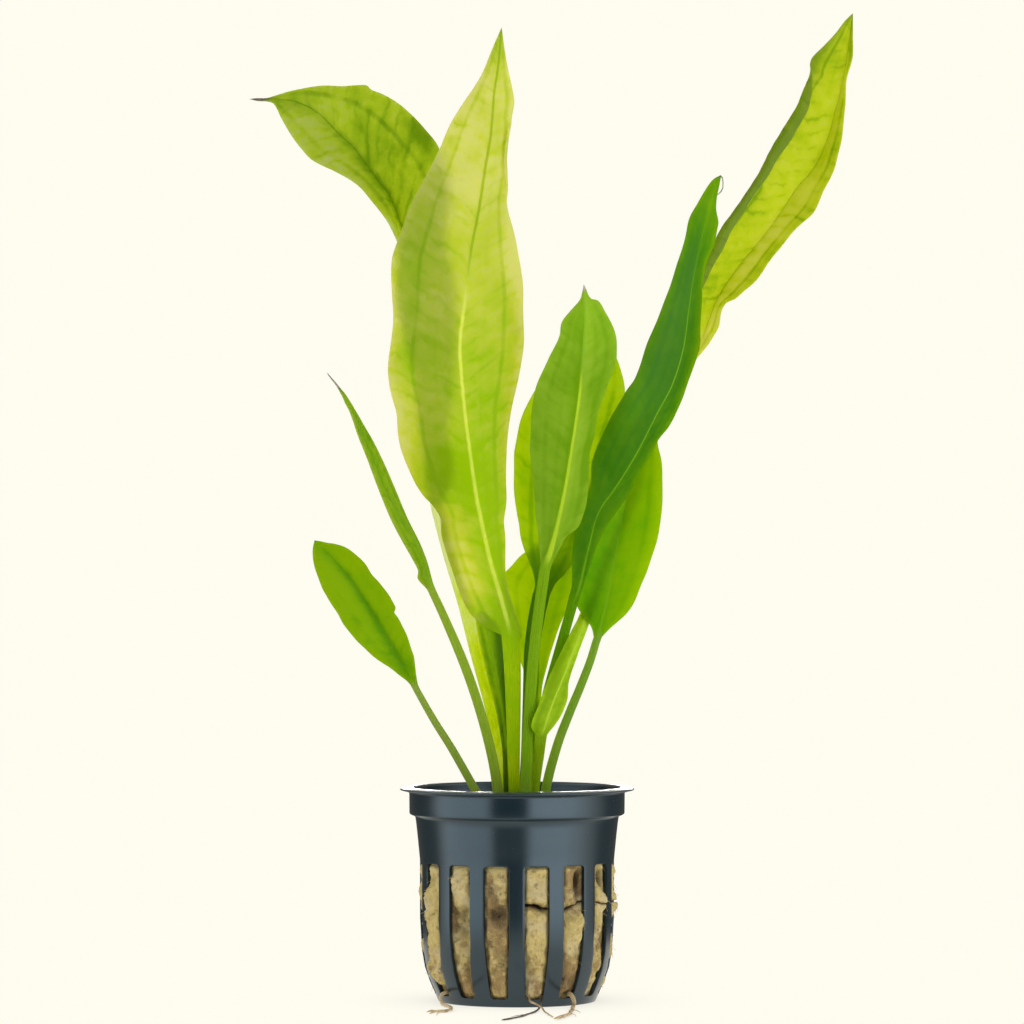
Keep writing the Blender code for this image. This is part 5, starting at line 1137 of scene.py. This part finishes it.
netPot = dict(
    node="net_pot", slot="pot_plastic", slots=15,
    firstSlot=11.8,              # degrees to the right of the front
    slotTop=33.5, slotBottom=1.9, slotMiddle=15.0, topWidth=6.0, bottomWidth=4.2, corner=0.9,
    # The wall's sections as (radius, height) in mm.
    outside=[(18.8, 0.0), (19.5, 1.5), (20.9, 4.6), (22.1, 8.0), (22.8, 12.0), (23.3, 20.0), (23.3, 33.6)],
    inside=[(18.2, 1.1), (18.8, 1.9), (20.0, 4.9), (21.2, 8.3), (21.9, 12.1), (22.4, 20.0), (22.4, 33.6)],
    # From the wall's outside over the band and the lip to its inside.
    mouth=[(23.55, 36.5), (23.85, 39.5), (24.15, 42.3), (24.38, 43.95), (24.5, 44.3), (25.3, 44.62),
           (25.72, 44.85), (25.82, 45.15), (25.84, 47.4), (25.86, 49.7), (25.95, 50.05), (27.3, 50.42),
           (27.95, 50.56), (28.1, 50.74), (28.02, 50.94), (27.6, 51.04), (26.3, 51.22), (25.4, 51.3),
           (25.08, 51.24), (24.93, 51.05), (24.9, 50.6), (24.9, 45.4), (24.8, 45.0), (23.6, 44.1),
           (23.2, 41.0), (22.8, 37.0)],
    floorHoles=6, holeRadii=(6.5, 15.5), ribWidth=3.2, floorTop=1.06, floorUnder=0.12, floorReach=18.5,
    bevel=0.11,
    bevelTurn=48, smoothTurn=40,    # degrees: a sharper edge is bevelled, and a duller one looks smooth
    lime=(0.0125, 0.009),        # m, the height of the chalk line and how far it fades up and down
    lipWear=(0.0503, 0.0507),    # m, heights between which the lip turns matt, and by how much
    lipRough=0.15,
    base=(0.0080, 0.0175, 0.0235), worn=(0.05, 0.068, 0.080),
    roughness=0.21, shine=0.75, shineTint=(0.76, 0.89, 1.0),
)


def slotHalf(up):                       # half a slot's width at this height, with its round corners
    p = netPot
    share = min(max((up - p["slotBottom"]) / (p["slotMiddle"] - p["slotBottom"]), 0), 1)
    half = (p["bottomWidth"] + (p["topWidth"] - p["bottomWidth"]) * share) / 2
    near = max(p["corner"] - min(p["slotTop"] - up, up - p["slotBottom"]), 0)
    near = min(near, p["corner"])
    return half - p["corner"] + math.sqrt(p["corner"] ** 2 - near ** 2)


def radiusAt(profile, up):
    radii, heights = zip(*profile)
    return np.interp(up, heights, radii)


def potWall():
    p = netPot
    top, low, c = p["slotTop"], p["slotBottom"], p["corner"]
    rounds = [c * (1 - math.cos(math.radians(a))) for a in (0, 22, 42, 60, 75, 90)]
    ups = [low + r for r in rounds] + [3.7, 4.6, 6.2, 8.0, 10.0, 12.0, 15.0, 20.0, 24.5, 29.0]
    ups += [top - r for r in reversed(rounds)]
    half = math.degrees(slotHalf(low) / 19.7)
    chain = [(18.8, 0.0, half), (19.1, 0.55, half), (19.45, 1.4, half)]
    outside = list(range(len(chain), len(chain) + len(ups)))
    for up in ups:
        radius = radiusAt(p["outside"], up)
        chain.append((radius, up, math.degrees(slotHalf(up) / radius)))
    half = math.degrees(slotHalf(top) / 23.3)
    chain.append((23.3, 33.9, half))
    chain += [(r, z, half) for r, z in p["mouth"]]
    chain.append((22.4, 33.9, half))
    inside = list(range(len(chain) + len(ups) - 1, len(chain) - 1, -1))
    for up in reversed(ups):
        radius = radiusAt(p["outside"], up)
        chain.append((radiusAt(p["inside"], up), up, math.degrees(slotHalf(up) / radius)))
    half = chain[inside[0]][2]
    chain += [(18.25, 1.1, half), (18.2, 0.5, half), (18.35, 0.0, half)]
    return thickSector("potSector", chain, outside, inside, 180 / p["slots"], 3, 4)


def potFloor():
    p = netPot
    low, high = p["holeRadii"]
    radii = [0.0, 3.5, low] + [low + (high - low) * k / 6 for k in range(1, 7)] + [17.0, p["floorReach"]]

    def opening(radius):
        radius = min(max(radius, low), high)
        return 30 - math.degrees(math.asin(p["ribWidth"] / 2 / radius))

    chain = [(r, p["floorUnder"], opening(r)) for r in radii]
    chain += [(r, p["floorTop"], opening(r)) for r in reversed(radii)]
    outside = [k for k, r in enumerate(radii) if low <= r <= high]
    inside = [2 * len(radii) - 1 - k for k in outside]
    return thickSector("floorSector", chain, outside, inside, 180 / p["floorHoles"], 2, 6)


def outward(mesh):                      # merges doubles and turns a closed mesh's faces outwards
    bm = bmesh.new()
    bm.from_mesh(mesh)
    bmesh.ops.remove_doubles(bm, verts=bm.verts, dist=0.015 * mm)
    bmesh.ops.dissolve_degenerate(bm, edges=bm.edges, dist=0.005 * mm)
    bmesh.ops.recalc_face_normals(bm, faces=bm.faces)
    bm.to_mesh(mesh)
    bm.free()
    return mesh


def potFinish():
    p = netPot
    material, g = newMaterial("netPotPlastic")
    place = g.place()
    height = g.node("ShaderNodeSeparateXYZ", {}, dict(Vector=place), output="Z")
    broad = g.noise(place, 55.0, detail=3.0)
    grain = g.noise(place, 2600.0, detail=2.0)
    flow = g.noise(g.stretched((900.0, 900.0, 60.0)), 1.0, detail=2.0)
    scuffs = g.noise(place, 340.0, detail=6.0, roughness=0.7, distortion=1.4).ramp(0.62, 0.76)
    specks = g.noise(place, 1500.0, detail=2.0).ramp(0.72, 0.80)
    lineHeight, lineFade = p["lime"]
    limeLine = (1 - (height - lineHeight).maths("ABSOLUTE").ramp(0.0, lineFade)) * broad.ramp(0.45, 0.7)
    colour = g.mixColour(broad.ramp(0.3, 0.75) * 0.5, p["base"], darker(p["base"], 0.78))
    colour = g.mixColour(scuffs * 0.12 + specks * 0.15 + limeLine * 0.10, colour, p["worn"])
    relief = grain * 0.35 + flow * 0.55 + scuffs * 0.4
    rough = p["roughness"] + (broad - 0.5) * 0.10 + scuffs * 0.12 + specks * 0.2 + (flow - 0.5) * 0.06
    rough = rough + height.ramp(*p["lipWear"]) * p["lipRough"]
    tint = {"Specular Tint": (*p["shineTint"], 1.0)}
    surface(g, g.body(colour, rough, p["shine"], g.bump(relief, 0.16, 0.00006), **tint))
    return material


def makePot():
    p = netPot
    skin = potFinish()
    wall = outward(repeatAround("netPotWall", potWall(), p["slots"], skin))
    base = outward(repeatAround("netPotFloor", potFloor(), p["floorHoles"], skin))
    wall.transform(Matrix.Rotation(math.radians(p["firstSlot"]), 4, "Z"))
    body = link(bpy.data.objects.new("netPot", wall))
    floorPart = link(bpy.data.objects.new("netPotBase", base))
    union = body.modifiers.new("floor", "BOOLEAN")
    union.operation = "UNION"
    union.solver = "EXACT"
    union.object = floorPart
    soft = body.modifiers.new("softEdges", "BEVEL")
    soft.width = p["bevel"] * mm
    soft.segments = 2
    soft.limit_method = "ANGLE"
    soft.angle_limit = math.radians(p["bevelTurn"])
    soft.use_clamp_overlap = True
    applyAll(body)
    bpy.data.objects.remove(floorPart)
    smoothed(body.data).set_sharp_from_angle(angle=math.radians(p["smoothTurn"]))
    keep(body, [p["node"]])


def applyAll(obj):                      # replaces an object's mesh by what its modifiers make of it
    graph = bpy.context.evaluated_depsgraph_get()
    mesh = bpy.data.meshes.new_from_object(obj.evaluated_get(graph))
    obj.modifiers.clear()
    obj.data = mesh


makePot()
print("pot ready")

rockWool = {
    "rockWoolLeft": dict(node="rock_wool_left", seed=31, crackSide=0),
    "rockWoolUpperRight": dict(node="rock_wool_upper_right", seed=32, crackSide=1),
    "rockWoolLowerRight": dict(node="rock_wool_lower_right", seed=33, crackSide=1),
    "rockWoolBack": dict(node="rock_wool_back", seed=34, crackSide=0),
}

woolBuild = dict(
    voxel=0.5, fineVoxel=0.42,   # mm, how finely the blocks are cut up before and after they are shaped
    wallGap=0.18, inset=0.25,    # mm that the wool stays clear of the wall and of a slot's sides
    ease=0.7,                    # mm over which it swells from there
    bulge=0.62, bulgeNoise=1.5, roughness=0.5,
    furthest=4.0,                # mm, how far out into a slot it reaches at most
    wallReach=(-1.3, -0.5),      # mm inside the wall between which a block starts to follow it
    topSide=(38.5, 39.6),        # mm, heights between which a block's top starts
    crack=23.9,                  # mm, the height of the level crack, and how far it rises at these turns
    crackBend=([0, 12, 28, 46, 60], [0.5, 0.2, -1.3, 1.4, 0.0]),
    # Each is (degrees to the right of the front, height, half width, half height, strength), lengths in mm.
    lumps=[(-66, 9.4, 3.4, 2.6, 2.4), (-62, 6.2, 2.0, 2.0, 1.2), (-66, 24, 3.2, 9, 1.5),
           (12.5, 33.2, 2.9, 1.6, 0.9), (38.5, 18, 3.2, 4.5, 1.5), (-8, 28.5, 1.6, 2.8, 0.8),
           (-37, 29.5, 3, 3.2, 0.9), (14, 28, 2.6, 3.4, 0.9), (11, 18, 2.6, 3.8, 0.8),
           (33, 31, 2.0, 2.5, 0.5), (-11.5, 5, 3, 4, 0.5), (60.5, 24.5, 3, 3.5, 1.0),
           (66, 23.5, 3.4, 2.6, 1.3), (84.5, 26, 3, 4, 1.1),
           (-35.5, 28, 3, 4, 0.5), (12.5, 12, 3, 5, 0.4), (60.5, 12, 3, 4, 0.5), (108, 15, 3, 6, 0.8),
           (156, 22, 3, 6, 0.8), (-132, 10, 3, 5, 0.9), (180, 30, 4, 3, 0.7)],
    hollows=[(41.5, 28.8, 1.6, 3.8, 3.4), (-76, 24, 1.6, 9, 2.5), (-43, 20, 1.2, 6, 1.2),
             (-44, 26.5, 1.2, 1.6, 1.4), (64, 29, 1.3, 3.2, 2.6), (66, 17, 1.4, 5.5, 2.8),
             (-15, 24, 1.2, 5, 0.9), (20.5, 23.6, 1.6, 1.0, 1.6), (30, 24.4, 1.4, 0.8, 1.4),
             (-8, 22, 1.7, 5, 1.1), (30, 6.5, 1.6, 3, 1.4), (12.5, 23.9, 3.2, 0.9, 1.6),
             (-38, 17, 1.4, 5, 0.9), (-57, 3.0, 2.0, 1.3, 2.2),
             (40, 2.6, 2.6, 1.2, 2.4), (-33, 11, 1.2, 3, 0.8), (8, 8, 1.2, 3, 0.8), (132, 24, 2, 6, 1.4),
             (-108, 26, 2, 5, 1.2)],
    # Brown stains, each as above: real stains, and where they sit on the hollows and the crack also painted
    # shade.
    stainsAndShade=[(-32.5, 20, 1.8, 7, 0.3), (-13, 21, 3.6, 7, 0.5), (-11.5, 6, 3, 5, 0.35), (33, 8, 4, 5, 0.5),
            (60, 10, 3, 7, 0.3), (8, 12, 1.6, 4, 0.3), (14, 5, 2.6, 3, 0.3), (33, 26, 2.2, 3, 0.45),
            (-43, 22, 1.4, 6, 0.9), (-35.5, 8, 4, 6, 0.45), (-17, 27, 1.6, 6, 0.6), (41, 29, 2.0, 4.5, 0.9),
            (-35.5, 4, 4, 3, 0.85), (-11.5, 20, 3.4, 6, 0.8), (-13.5, 8, 2.4, 5, 0.5),
            (33.5, 31, 2.6, 4, 0.8),
            (36.5, 6.5, 4, 5, 0.9), (12.5, 23.8, 4, 1.1, 0.9), (9, 9, 2, 5, 0.1), (62, 14, 3, 7, 0.45),
            (-62, 8.6, 1.2, 1.2, 0.9), (-59, 3.4, 3, 1.8, 0.9), (-8, 31, 1.5, 2, 0.3), (90, 8, 6, 6, 0.6),
            (150, 12, 8, 9, 0.6), (-140, 22, 9, 8, 0.6), (-100, 8, 7, 6, 0.6), (200, 5, 9, 5, 0.7)],
    pale=(0.65, 0.51, 0.22), straw=(0.48, 0.35, 0.12), pink=(0.58, 0.46, 0.26),
    # The last is the dark colour of the painted shade deep in the pot and between the clumps, and of the dark
    # specks.
    brown=(0.165, 0.098, 0.043), shadeAndSoil=(0.035, 0.022, 0.013),
    fibres=312000.0,             # to a square metre of open wool
    fibreLength=(0.7, 1.7), fibreHalf=0.035,
)


def fieldOf(features, turn, up, radius):
    total = np.zeros(len(turn))
    for angle, height, wide, high, strength in features:
        apart = (turn - math.radians(angle) + np.pi) % (2 * np.pi) - np.pi
        total += strength * np.exp(-((apart * radius / wide) ** 2 + ((up - height) / high) ** 2))
    return total


def roundabout(points):                 # turn to the right of the front, radius and height, in mm
    radius = np.hypot(points[:, 0], points[:, 1])
    return np.arctan2(points[:, 0], -points[:, 1]), radius, points[:, 2]


def openness(turn, up):                 # 1 in the middle of a slot, 0 behind the slats
    p, w = netPot, woolBuild
    pitch = 2 * np.pi / p["slots"]
    apart = (turn - math.radians(p["firstSlot"]) + pitch / 2) % pitch - pitch / 2
    heights = np.linspace(p["slotBottom"], p["slotTop"], 120)
    half = np.interp(up, heights, [slotHalf(height) for height in heights])
    inFromSide = half - w["inset"] - np.abs(apart) * radiusAt(p["inside"], up)
    inFromEnd = np.minimum(p["slotTop"] - w["inset"] - up, up - p["slotBottom"] - w["inset"])
    return step(0, w["ease"], inFromSide) * step(0, w["ease"], inFromEnd)


def cloudy(points, scale, seed, octaves=4):
    offset = Vector((seed * 3.7, seed * 1.3, seed * 2.1))
    return np.array([noise.fractal(Vector(point) * scale + offset, 1.0, 2.0, octaves) for point in points])


def remeshed(obj, voxel):
    modifier = obj.modifiers.new("even", "REMESH")
    modifier.mode = "VOXEL"
    modifier.voxel_size = voxel * mm
    applyAll(obj)


def pointsOf(mesh):
    flat = np.empty(len(mesh.vertices) * 3)
    mesh.vertices.foreach_get("co", flat)
    return flat.reshape(-1, 3) / mm


def movePoints(mesh, points):
    mesh.vertices.foreach_set("co", (points * mm).reshape(-1))
    mesh.update()


def shapeWool(obj, piece):
    w, seed = woolBuild, piece["seed"]
    mesh = obj.data
    points = pointsOf(mesh)
    turn, radius, up = roundabout(points)
    wall = radiusAt(netPot["inside"], up)
    onWall = step(*w["wallReach"], radius - wall)
    opened = openness(turn, up)
    rough = cloudy(points, 0.55, seed)
    coarse = cloudy(points, 0.22, seed + 5, 2)
    out = opened * (w["bulge"] + w["bulgeNoise"] * coarse + fieldOf(w["lumps"], turn, up, radius))
    out -= opened * fieldOf(w["hollows"], turn, up, radius)
    limit = wall - w["wallGap"] + opened * w["furthest"]
    moved = np.minimum(radius + out + w["roughness"] * rough * (0.4 + 0.6 * opened), limit)
    moved = radius + (moved - radius) * onWall
    points[:, :2] *= (moved / np.maximum(radius, 0.01))[:, None]
    topSide = step(*w["topSide"], up) * (1 - onWall)
    points[:, 2] += topSide * (0.5 * rough - 0.2)
    toCrack = up - w["crack"]
    offset = np.interp(np.degrees(turn), *w["crackBend"]) * np.exp(-(toCrack / 4) ** 2)
    closing = np.clip(0.12 + 0.5 * rough, -0.5, 0.27) * step(1.6, 0.3, np.abs(toCrack)) * piece["crackSide"]
    points[:, 2] += (offset - closing * np.sign(toCrack)) * step(-2, 2, points[:, 0])
    movePoints(mesh, points)


def roughenWool(mesh, seed):
    w = woolBuild
    points = pointsOf(mesh)
    normals = np.empty(len(mesh.vertices) * 3)
    mesh.vertices.foreach_get("normal", normals)
    normals = normals.reshape(-1, 3)
    turn, radius, up = roundabout(points)
    opened = openness(turn, up) * step(19.0, 20.5, radius + 3 * (up < 12))
    fine = cloudy(points, 1.5, seed + 11, 3)
    points += normals * ((0.10 + 0.12 * opened) * fine)[:, None]
    movePoints(mesh, points)
    stainAndShade = fieldOf(w["stainsAndShade"], turn, up, np.maximum(radius, 18)) + 0.55 * cloudy(points, 0.33, seed + 17)
    storeValues(mesh, "stainAndShade", np.clip(stainAndShade, 0, 1))
    # Painted shade: how deep inside the pot's outer wall a point lies, for the finish to darken it there.
    storeValues(mesh, "deep", step(0.4, 2.6, radiusAt(netPot["outside"], up) - radius))
    storeValues(mesh, "open", opened)


def woolFinish():
    w = woolBuild
    material, g = newMaterial("rockWoolFibre")
    place = g.place()
    stainAndShade, deep = g.attribute("stainAndShade"), g.attribute("deep")
    warp = g.noise(place, 260.0, detail=3.0)
    strands = g.noise(g.stretched((2600.0, 500.0, 900.0), (0.5, 0.9, 0.3)), 1.0, distortion=1.2)
    crossing = g.noise(g.stretched((700.0, 2400.0, 520.0), (-0.7, 0.4, 1.2)), 1.0, distortion=1.0)
    clumps = g.noise(place, 420.0, detail=5.0, roughness=0.65)
    specks = g.noise(place, 1900.0, detail=2.0).ramp(0.66, 0.74)
    tone = (strands * 0.5 + crossing * 0.5).ramp(0.32, 0.68)
    colour = g.mixColour(tone * 0.8, w["straw"], w["pale"])
    colour = g.mixColour(g.noise(place, 170.0, detail=3.0).ramp(0.45, 0.65) * 0.7, colour, w["pink"])
    crumbs = g.noise(place, 1000.0, detail=4.0, roughness=0.6)
    # Stains, clumps and crumbs turn it brown; where the stains lie on hollows and the crack this is painted
    # shade.
    browned = (stainAndShade * 1.1 + (clumps - 0.5) * 2.2 + (crumbs - 0.5) * 1.6 + (warp - 0.5)).ramp(0.10, 1.0)
    colour = g.mixColour(browned * 0.8, colour, g.mixColour(tone, w["brown"], darker(w["brown"], 1.9)))
    # Painted shade: deep inside the pot and in the hollows between the clumps the colour goes dark, with dark
    # specks as well.
    shade = (deep * 0.75 + clumps.ramp(0.44, 0.30) * 0.5 + specks * 0.55).clamped()
    colour = g.mixColour(shade, colour, w["shadeAndSoil"])
    relief = strands * 0.5 + crossing * 0.5 + clumps * 0.9
    surface(g, g.body(colour, 0.86 + (tone - 0.5) * 0.14, 0.18, g.bump(relief, 0.75, 0.00035)))
    return material


def fibreMesh():                        # one fibre, 1 mm long, that lies on the wool and lifts at its end
    s = np.linspace(0, 1, 7)
    points = np.stack([s, 0.12 * np.sin(s * 5), 0.04 + 0.22 * s * s], axis=1)
    return meshOf("woolFibre", *tube(points, woolBuild["fibreHalf"] * (1 - 0.5 * s), 3))


def addFibres(name, mesh, seed, material):
    w = woolBuild
    fibre = link(bpy.data.objects.new("woolFibreShape", fibreMesh()))
    sockets = dict(Fibres="Float", Seed="Int", Shortest="Float", Longest="Float", Fibre="Object")
    tree, g, given = geometryTree(name + "Fibres", sockets)
    opened = g.node("GeometryNodeInputNamedAttribute", dict(data_type="FLOAT"), dict(Name="open"))
    spots = g.node("GeometryNodeDistributePointsOnFaces", {},
                   dict(Mesh=given, Density=opened * given.out("Fibres"), Seed=given.out("Seed")))
    shape = g.node("GeometryNodeObjectInfo", {}, dict(Object=given.out("Fibre")), output="Geometry")
    spin = g.node("FunctionNodeRandomValue", dict(data_type="FLOAT"),
                  {"Min": 0.0, "Max": 6.283, "Seed": given.out("Seed")}, output=1)
    size = g.node("FunctionNodeRandomValue", dict(data_type="FLOAT"),
                  {2: given.out("Shortest"), 3: given.out("Longest"), "Seed": given.out("Seed")}, output=1)
    leaning = g.node("FunctionNodeRotateRotation", dict(rotation_space="LOCAL"),
                     {0: spots.out("Rotation"), 1: g.combined(z=spin)})
    laid = g.node("GeometryNodeInstanceOnPoints", {},
                  dict(Points=spots, Instance=shape, Rotation=leaning, Scale=size))
    joined = g.tree.nodes.new("GeometryNodeJoinGeometry")
    for part in (laid, given):
        g.tree.links.new(part.socket, joined.inputs[0])
    finishTree(g, Wire(g, joined.outputs[0]), material)
    shortest, longest = w["fibreLength"]
    inputs = dict(Fibres=w["fibres"], Seed=seed, Shortest=shortest, Longest=longest, Fibre=fibre)
    result = bakedMesh(name, mesh, tree, inputs)
    bpy.data.objects.remove(fibre)
    return result


def makeWool():
    w = woolBuild
    skin = woolFinish()
    for name, piece in rockWool.items():
        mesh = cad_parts[piece["node"]].data.copy()
        bm = bmesh.new()
        bm.from_mesh(mesh)
        bmesh.ops.remove_doubles(bm, verts=bm.verts, dist=0.00001)
        bm.to_mesh(mesh)
        bm.free()
        mesh.materials.clear()
        obj = link(bpy.data.objects.new(name, mesh))
        remeshed(obj, w["voxel"])
        shapeWool(obj, piece)
        remeshed(obj, w["fineVoxel"])
        roughenWool(obj.data, piece["seed"])
        obj.data = addFibres(name, obj.data, piece["seed"], skin)
        smoothed(obj.data)
        keep(obj, [piece["node"]])


makeWool()
print("wool ready")

crown = dict(
    node="crown", slot="crown_tissue", rings=30, sides=64, low=34.0, high=43.2, radius=6.4, scars=9,
    pale=(0.42, 0.44, 0.16), green=(0.20, 0.33, 0.05), brown=(0.16, 0.10, 0.05),
)


def crownMesh():                        # a squat stem, lobed and ringed by the scars of shed leaves
    c = crown
    v = np.linspace(0, 1, c["rings"] + 1)
    a = 2 * np.pi * np.arange(c["sides"]) / c["sides"]
    tall = (c["high"] - c["low"]) / 2
    up = -np.cos(np.pi * v[1:-1])
    girth = np.sqrt(1 - up ** 2)[:, None] * (1 - 0.18 * np.clip(up, 0, 1)[:, None])
    girth = girth * (1 + 0.05 * np.sin(5 * a)[None] + 0.025 * np.sin(up * c["scars"] * 3)[:, None]
                     + 0.012 * np.sin(17 * a + 4 * up[:, None]))
    x, y = c["radius"] * girth * np.cos(a)[None], c["radius"] * girth * np.sin(a)[None]
    z = np.broadcast_to(c["low"] + tall + tall * up[:, None], x.shape)
    verts = np.stack([x, y, z], axis=-1).reshape(-1, 3)
    verts = np.concatenate([verts, [[0, 0, c["low"]], [0, 0, c["high"]]]])
    return smoothed(meshOf("crown", verts, ringFaces(c["rings"] - 1, c["sides"])))


def crownFinish():
    c = crown
    material, g = newMaterial("crownTissue")
    strands = g.noise(g.stretched((500.0, 500.0, 90.0)), 1.0, detail=4.0)
    blotches = g.noise(g.place(), 320.0, detail=4.0)
    colour = g.mixColour(strands.ramp(0.3, 0.7), c["green"], c["pale"])
    colour = g.mixColour(blotches.ramp(0.5, 0.72) * 0.8, colour, c["brown"])
    bump = g.bump(strands + blotches * 0.6, 0.5, 0.0002)
    surface(g, g.body(colour, 0.62 + (blotches - 0.5) * 0.2, 0.25, bump))
    return material


def makeCrown():
    mesh = crownMesh()
    mesh.materials.append(crownFinish())
    keep(link(bpy.data.objects.new("crownStem", mesh)), [crown["node"]])


makeCrown()
print("crown ready")

rootSkins = {
    "rootPaleSkin": dict(pale=(0.62, 0.47, 0.27), dark=(0.30, 0.19, 0.09)),
    "rootDarkSkin": dict(pale=(0.10, 0.075, 0.055), dark=(0.028, 0.02, 0.015)),
}

rootBuild = dict(spacing=0.0005, sides=12, wander=0.0009)      # m, from ring to ring and how far it strays

# Each strand is its half width at the start and at the end, and its route (x, y, z), all in mm.
roots = {
    "rootLeft": dict(node="root_left", slot="root_pale", skin="rootPaleSkin", seed=41, strands=[
        (0.42, 0.34, [(-16.4, -10.4, 2.9), (-17.6, -11.4, 2.6), (-18.2, -13.4, 1.7), (-17.8, -16, 0.7),
                      (-17, -18.5, 0.5), (-15.4, -25, 0.5), (-16.6, -33, 0.5), (-19.6, -34, 0.5)]),
        (0.30, 0.12, [(-19.0, -33.9, 0.5), (-20.2, -33.4, 0.6), (-21.3, -34.3, 0.35)]),
        (0.24, 0.10, [(-19.2, -34.0, 0.45), (-20.0, -35.2, 0.35), (-20.6, -37.0, 0.25)]),
        (0.10, 0.05, [(-18.2, -33.6, 0.5), (-18.5, -36, 0.3), (-18.6, -41, 0.14)]),
    ]),
    "rootFrontDark": dict(node="root_front_dark", slot="root_dark", skin="rootDarkSkin", seed=42, strands=[
        (0.26, 0.22, [(5.7, -18.6, 2.9), (6, -20.4, 2.6), (5.8, -22, 1.6), (5.4, -24, 0.6),
                      (5, -26.5, 0.36), (4, -34, 0.36), (0.6, -46, 0.36), (-3.5, -54, 0.36)]),
        (0.09, 0.04, [(2.0, -41, 0.4), (0.0, -42.5, 0.3), (-1.6, -45, 0.2)]),
    ]),
    "rootFrontFine": dict(node="root_front_fine", slot="root_pale", skin="rootPaleSkin", seed=43, strands=[
        (0.24, 0.16, [(2.9, -19.2, 2.9), (3, -21, 2.5), (3.3, -22.6, 1.8), (4.6, -26, 1.4),
                      (5.8, -30, 1), (6.6, -35, 0.4), (7.2, -39, 0.34), (8.2, -47, 0.34)]),
    ]),
    "rootRight": dict(node="root_right", slot="root_pale", skin="rootPaleSkin", seed=44, strands=[
        (0.5, 0.36, [(12.3, -15.1, 2.9), (13, -16.4, 2.6), (13.4, -18.2, 1.7), (13.4, -20.4, 0.8),
                     (13.2, -23, 0.6), (12.8, -33, 0.6), (11.4, -45, 0.6), (8.6, -53.4, 0.6)]),
        (0.09, 0.04, [(12.9, -30, 0.6), (14.2, -31.5, 0.4), (15.0, -34, 0.16)]),
        (0.08, 0.04, [(12.2, -40, 0.6), (13.4, -42, 0.4), (13.6, -44.5, 0.16)]),
    ]),
}


def rootFinish(name, tones):
    material, g = newMaterial(name)
    place = g.place()
    rings = g.noise(place, 900.0, detail=3.0)
    blotches = g.noise(place, 260.0, detail=4.0)
    colour = g.mixColour(blotches.ramp(0.42, 0.68), tones["pale"], tones["dark"])
    colour = g.mixColour(rings.ramp(0.62, 0.75) * 0.6, colour, darker(tones["dark"], 0.5))
    surface(g, g.body(colour, 0.5 + (rings - 0.5) * 0.2, 0.4, g.bump(rings, 0.5, 0.00012)))
    return material


def strandTree(name, material):
    sockets = dict(Spacing="Float", Sides="Int", Wander="Float", Seed="Int")
    tree, g, given = geometryTree(name, sockets)
    sockets = dict(Curve=given, Length=given.out("Spacing"))
    even = g.node("GeometryNodeResampleCurve", dict(mode="LENGTH"), sockets)
    place = g.node("GeometryNodeInputPosition", {}, {})
    cloud = g.node("ShaderNodeTexNoise", dict(noise_dimensions="4D"),
                   dict(Vector=place, W=given.out("Seed"), Scale=160.0), output="Color")
    centred = g.node("ShaderNodeVectorMath", dict(operation="SUBTRACT"), {0: cloud, 1: (0.5, 0.5, 0.5)})
    flat = g.node("ShaderNodeVectorMath", dict(operation="MULTIPLY"), {0: centred, 1: (1.0, 1.0, 0.0)})
    shift = g.node("ShaderNodeVectorMath", dict(operation="SCALE"), {0: flat, "Scale": given.out("Wander")})
    bent = g.node("GeometryNodeSetPosition", {}, dict(Geometry=even, Offset=shift))
    ring = g.node("GeometryNodeCurvePrimitiveCircle", {}, dict(Resolution=given.out("Sides"), Radius=1.0))
    girth = g.node("GeometryNodeInputRadius", {}, {})
    sockets = {"Curve": bent, "Profile Curve": ring, "Scale": girth, "Fill Caps": True}
    finishTree(g, g.node("GeometryNodeCurveToMesh", {}, sockets), material)
    return tree


def rootRoutes(name, root):             # the strands as curves, with their uneven girth
    rng = np.random.default_rng(root["seed"])
    data = bpy.data.curves.new(name + "Routes", "CURVE")
    data.dimensions = "3D"
    for start, end, route in root["strands"]:
        share = np.linspace(0, 1, 40 if len(route) > 4 else 12)
        knots = 1 + 0.10 * np.sin(share * 23 + rng.uniform(0, 6))
        knots += 0.06 * np.sin(share * 61 + rng.uniform(0, 6))
        radii = (start + (end - start) * share) * knots * np.clip((1.02 - share) / 0.05, 0.25, 1)
        spline = data.splines.new("POLY")
        spline.points.add(len(share) - 1)
        for spot, point, radius in zip(spline.points, lineThrough(route)(share), radii):
            spot.co = (*(Vector(point) * mm), 1)
            spot.radius = radius * mm
    return data


def makeRoots():
    skins = {name: rootFinish(name, tones) for name, tones in rootSkins.items()}
    given = dict(Spacing=rootBuild["spacing"], Sides=rootBuild["sides"], Wander=rootBuild["wander"])
    for name, root in roots.items():
        tree = strandTree(name + "Strands", skins[root["skin"]])
        mesh = bakedMesh(name, rootRoutes(name, root), tree, dict(given, Seed=root["seed"]))
        keep(link(bpy.data.objects.new(name, outward(smoothed(mesh)))), [root["node"]])


makeRoots()
print("roots ready")
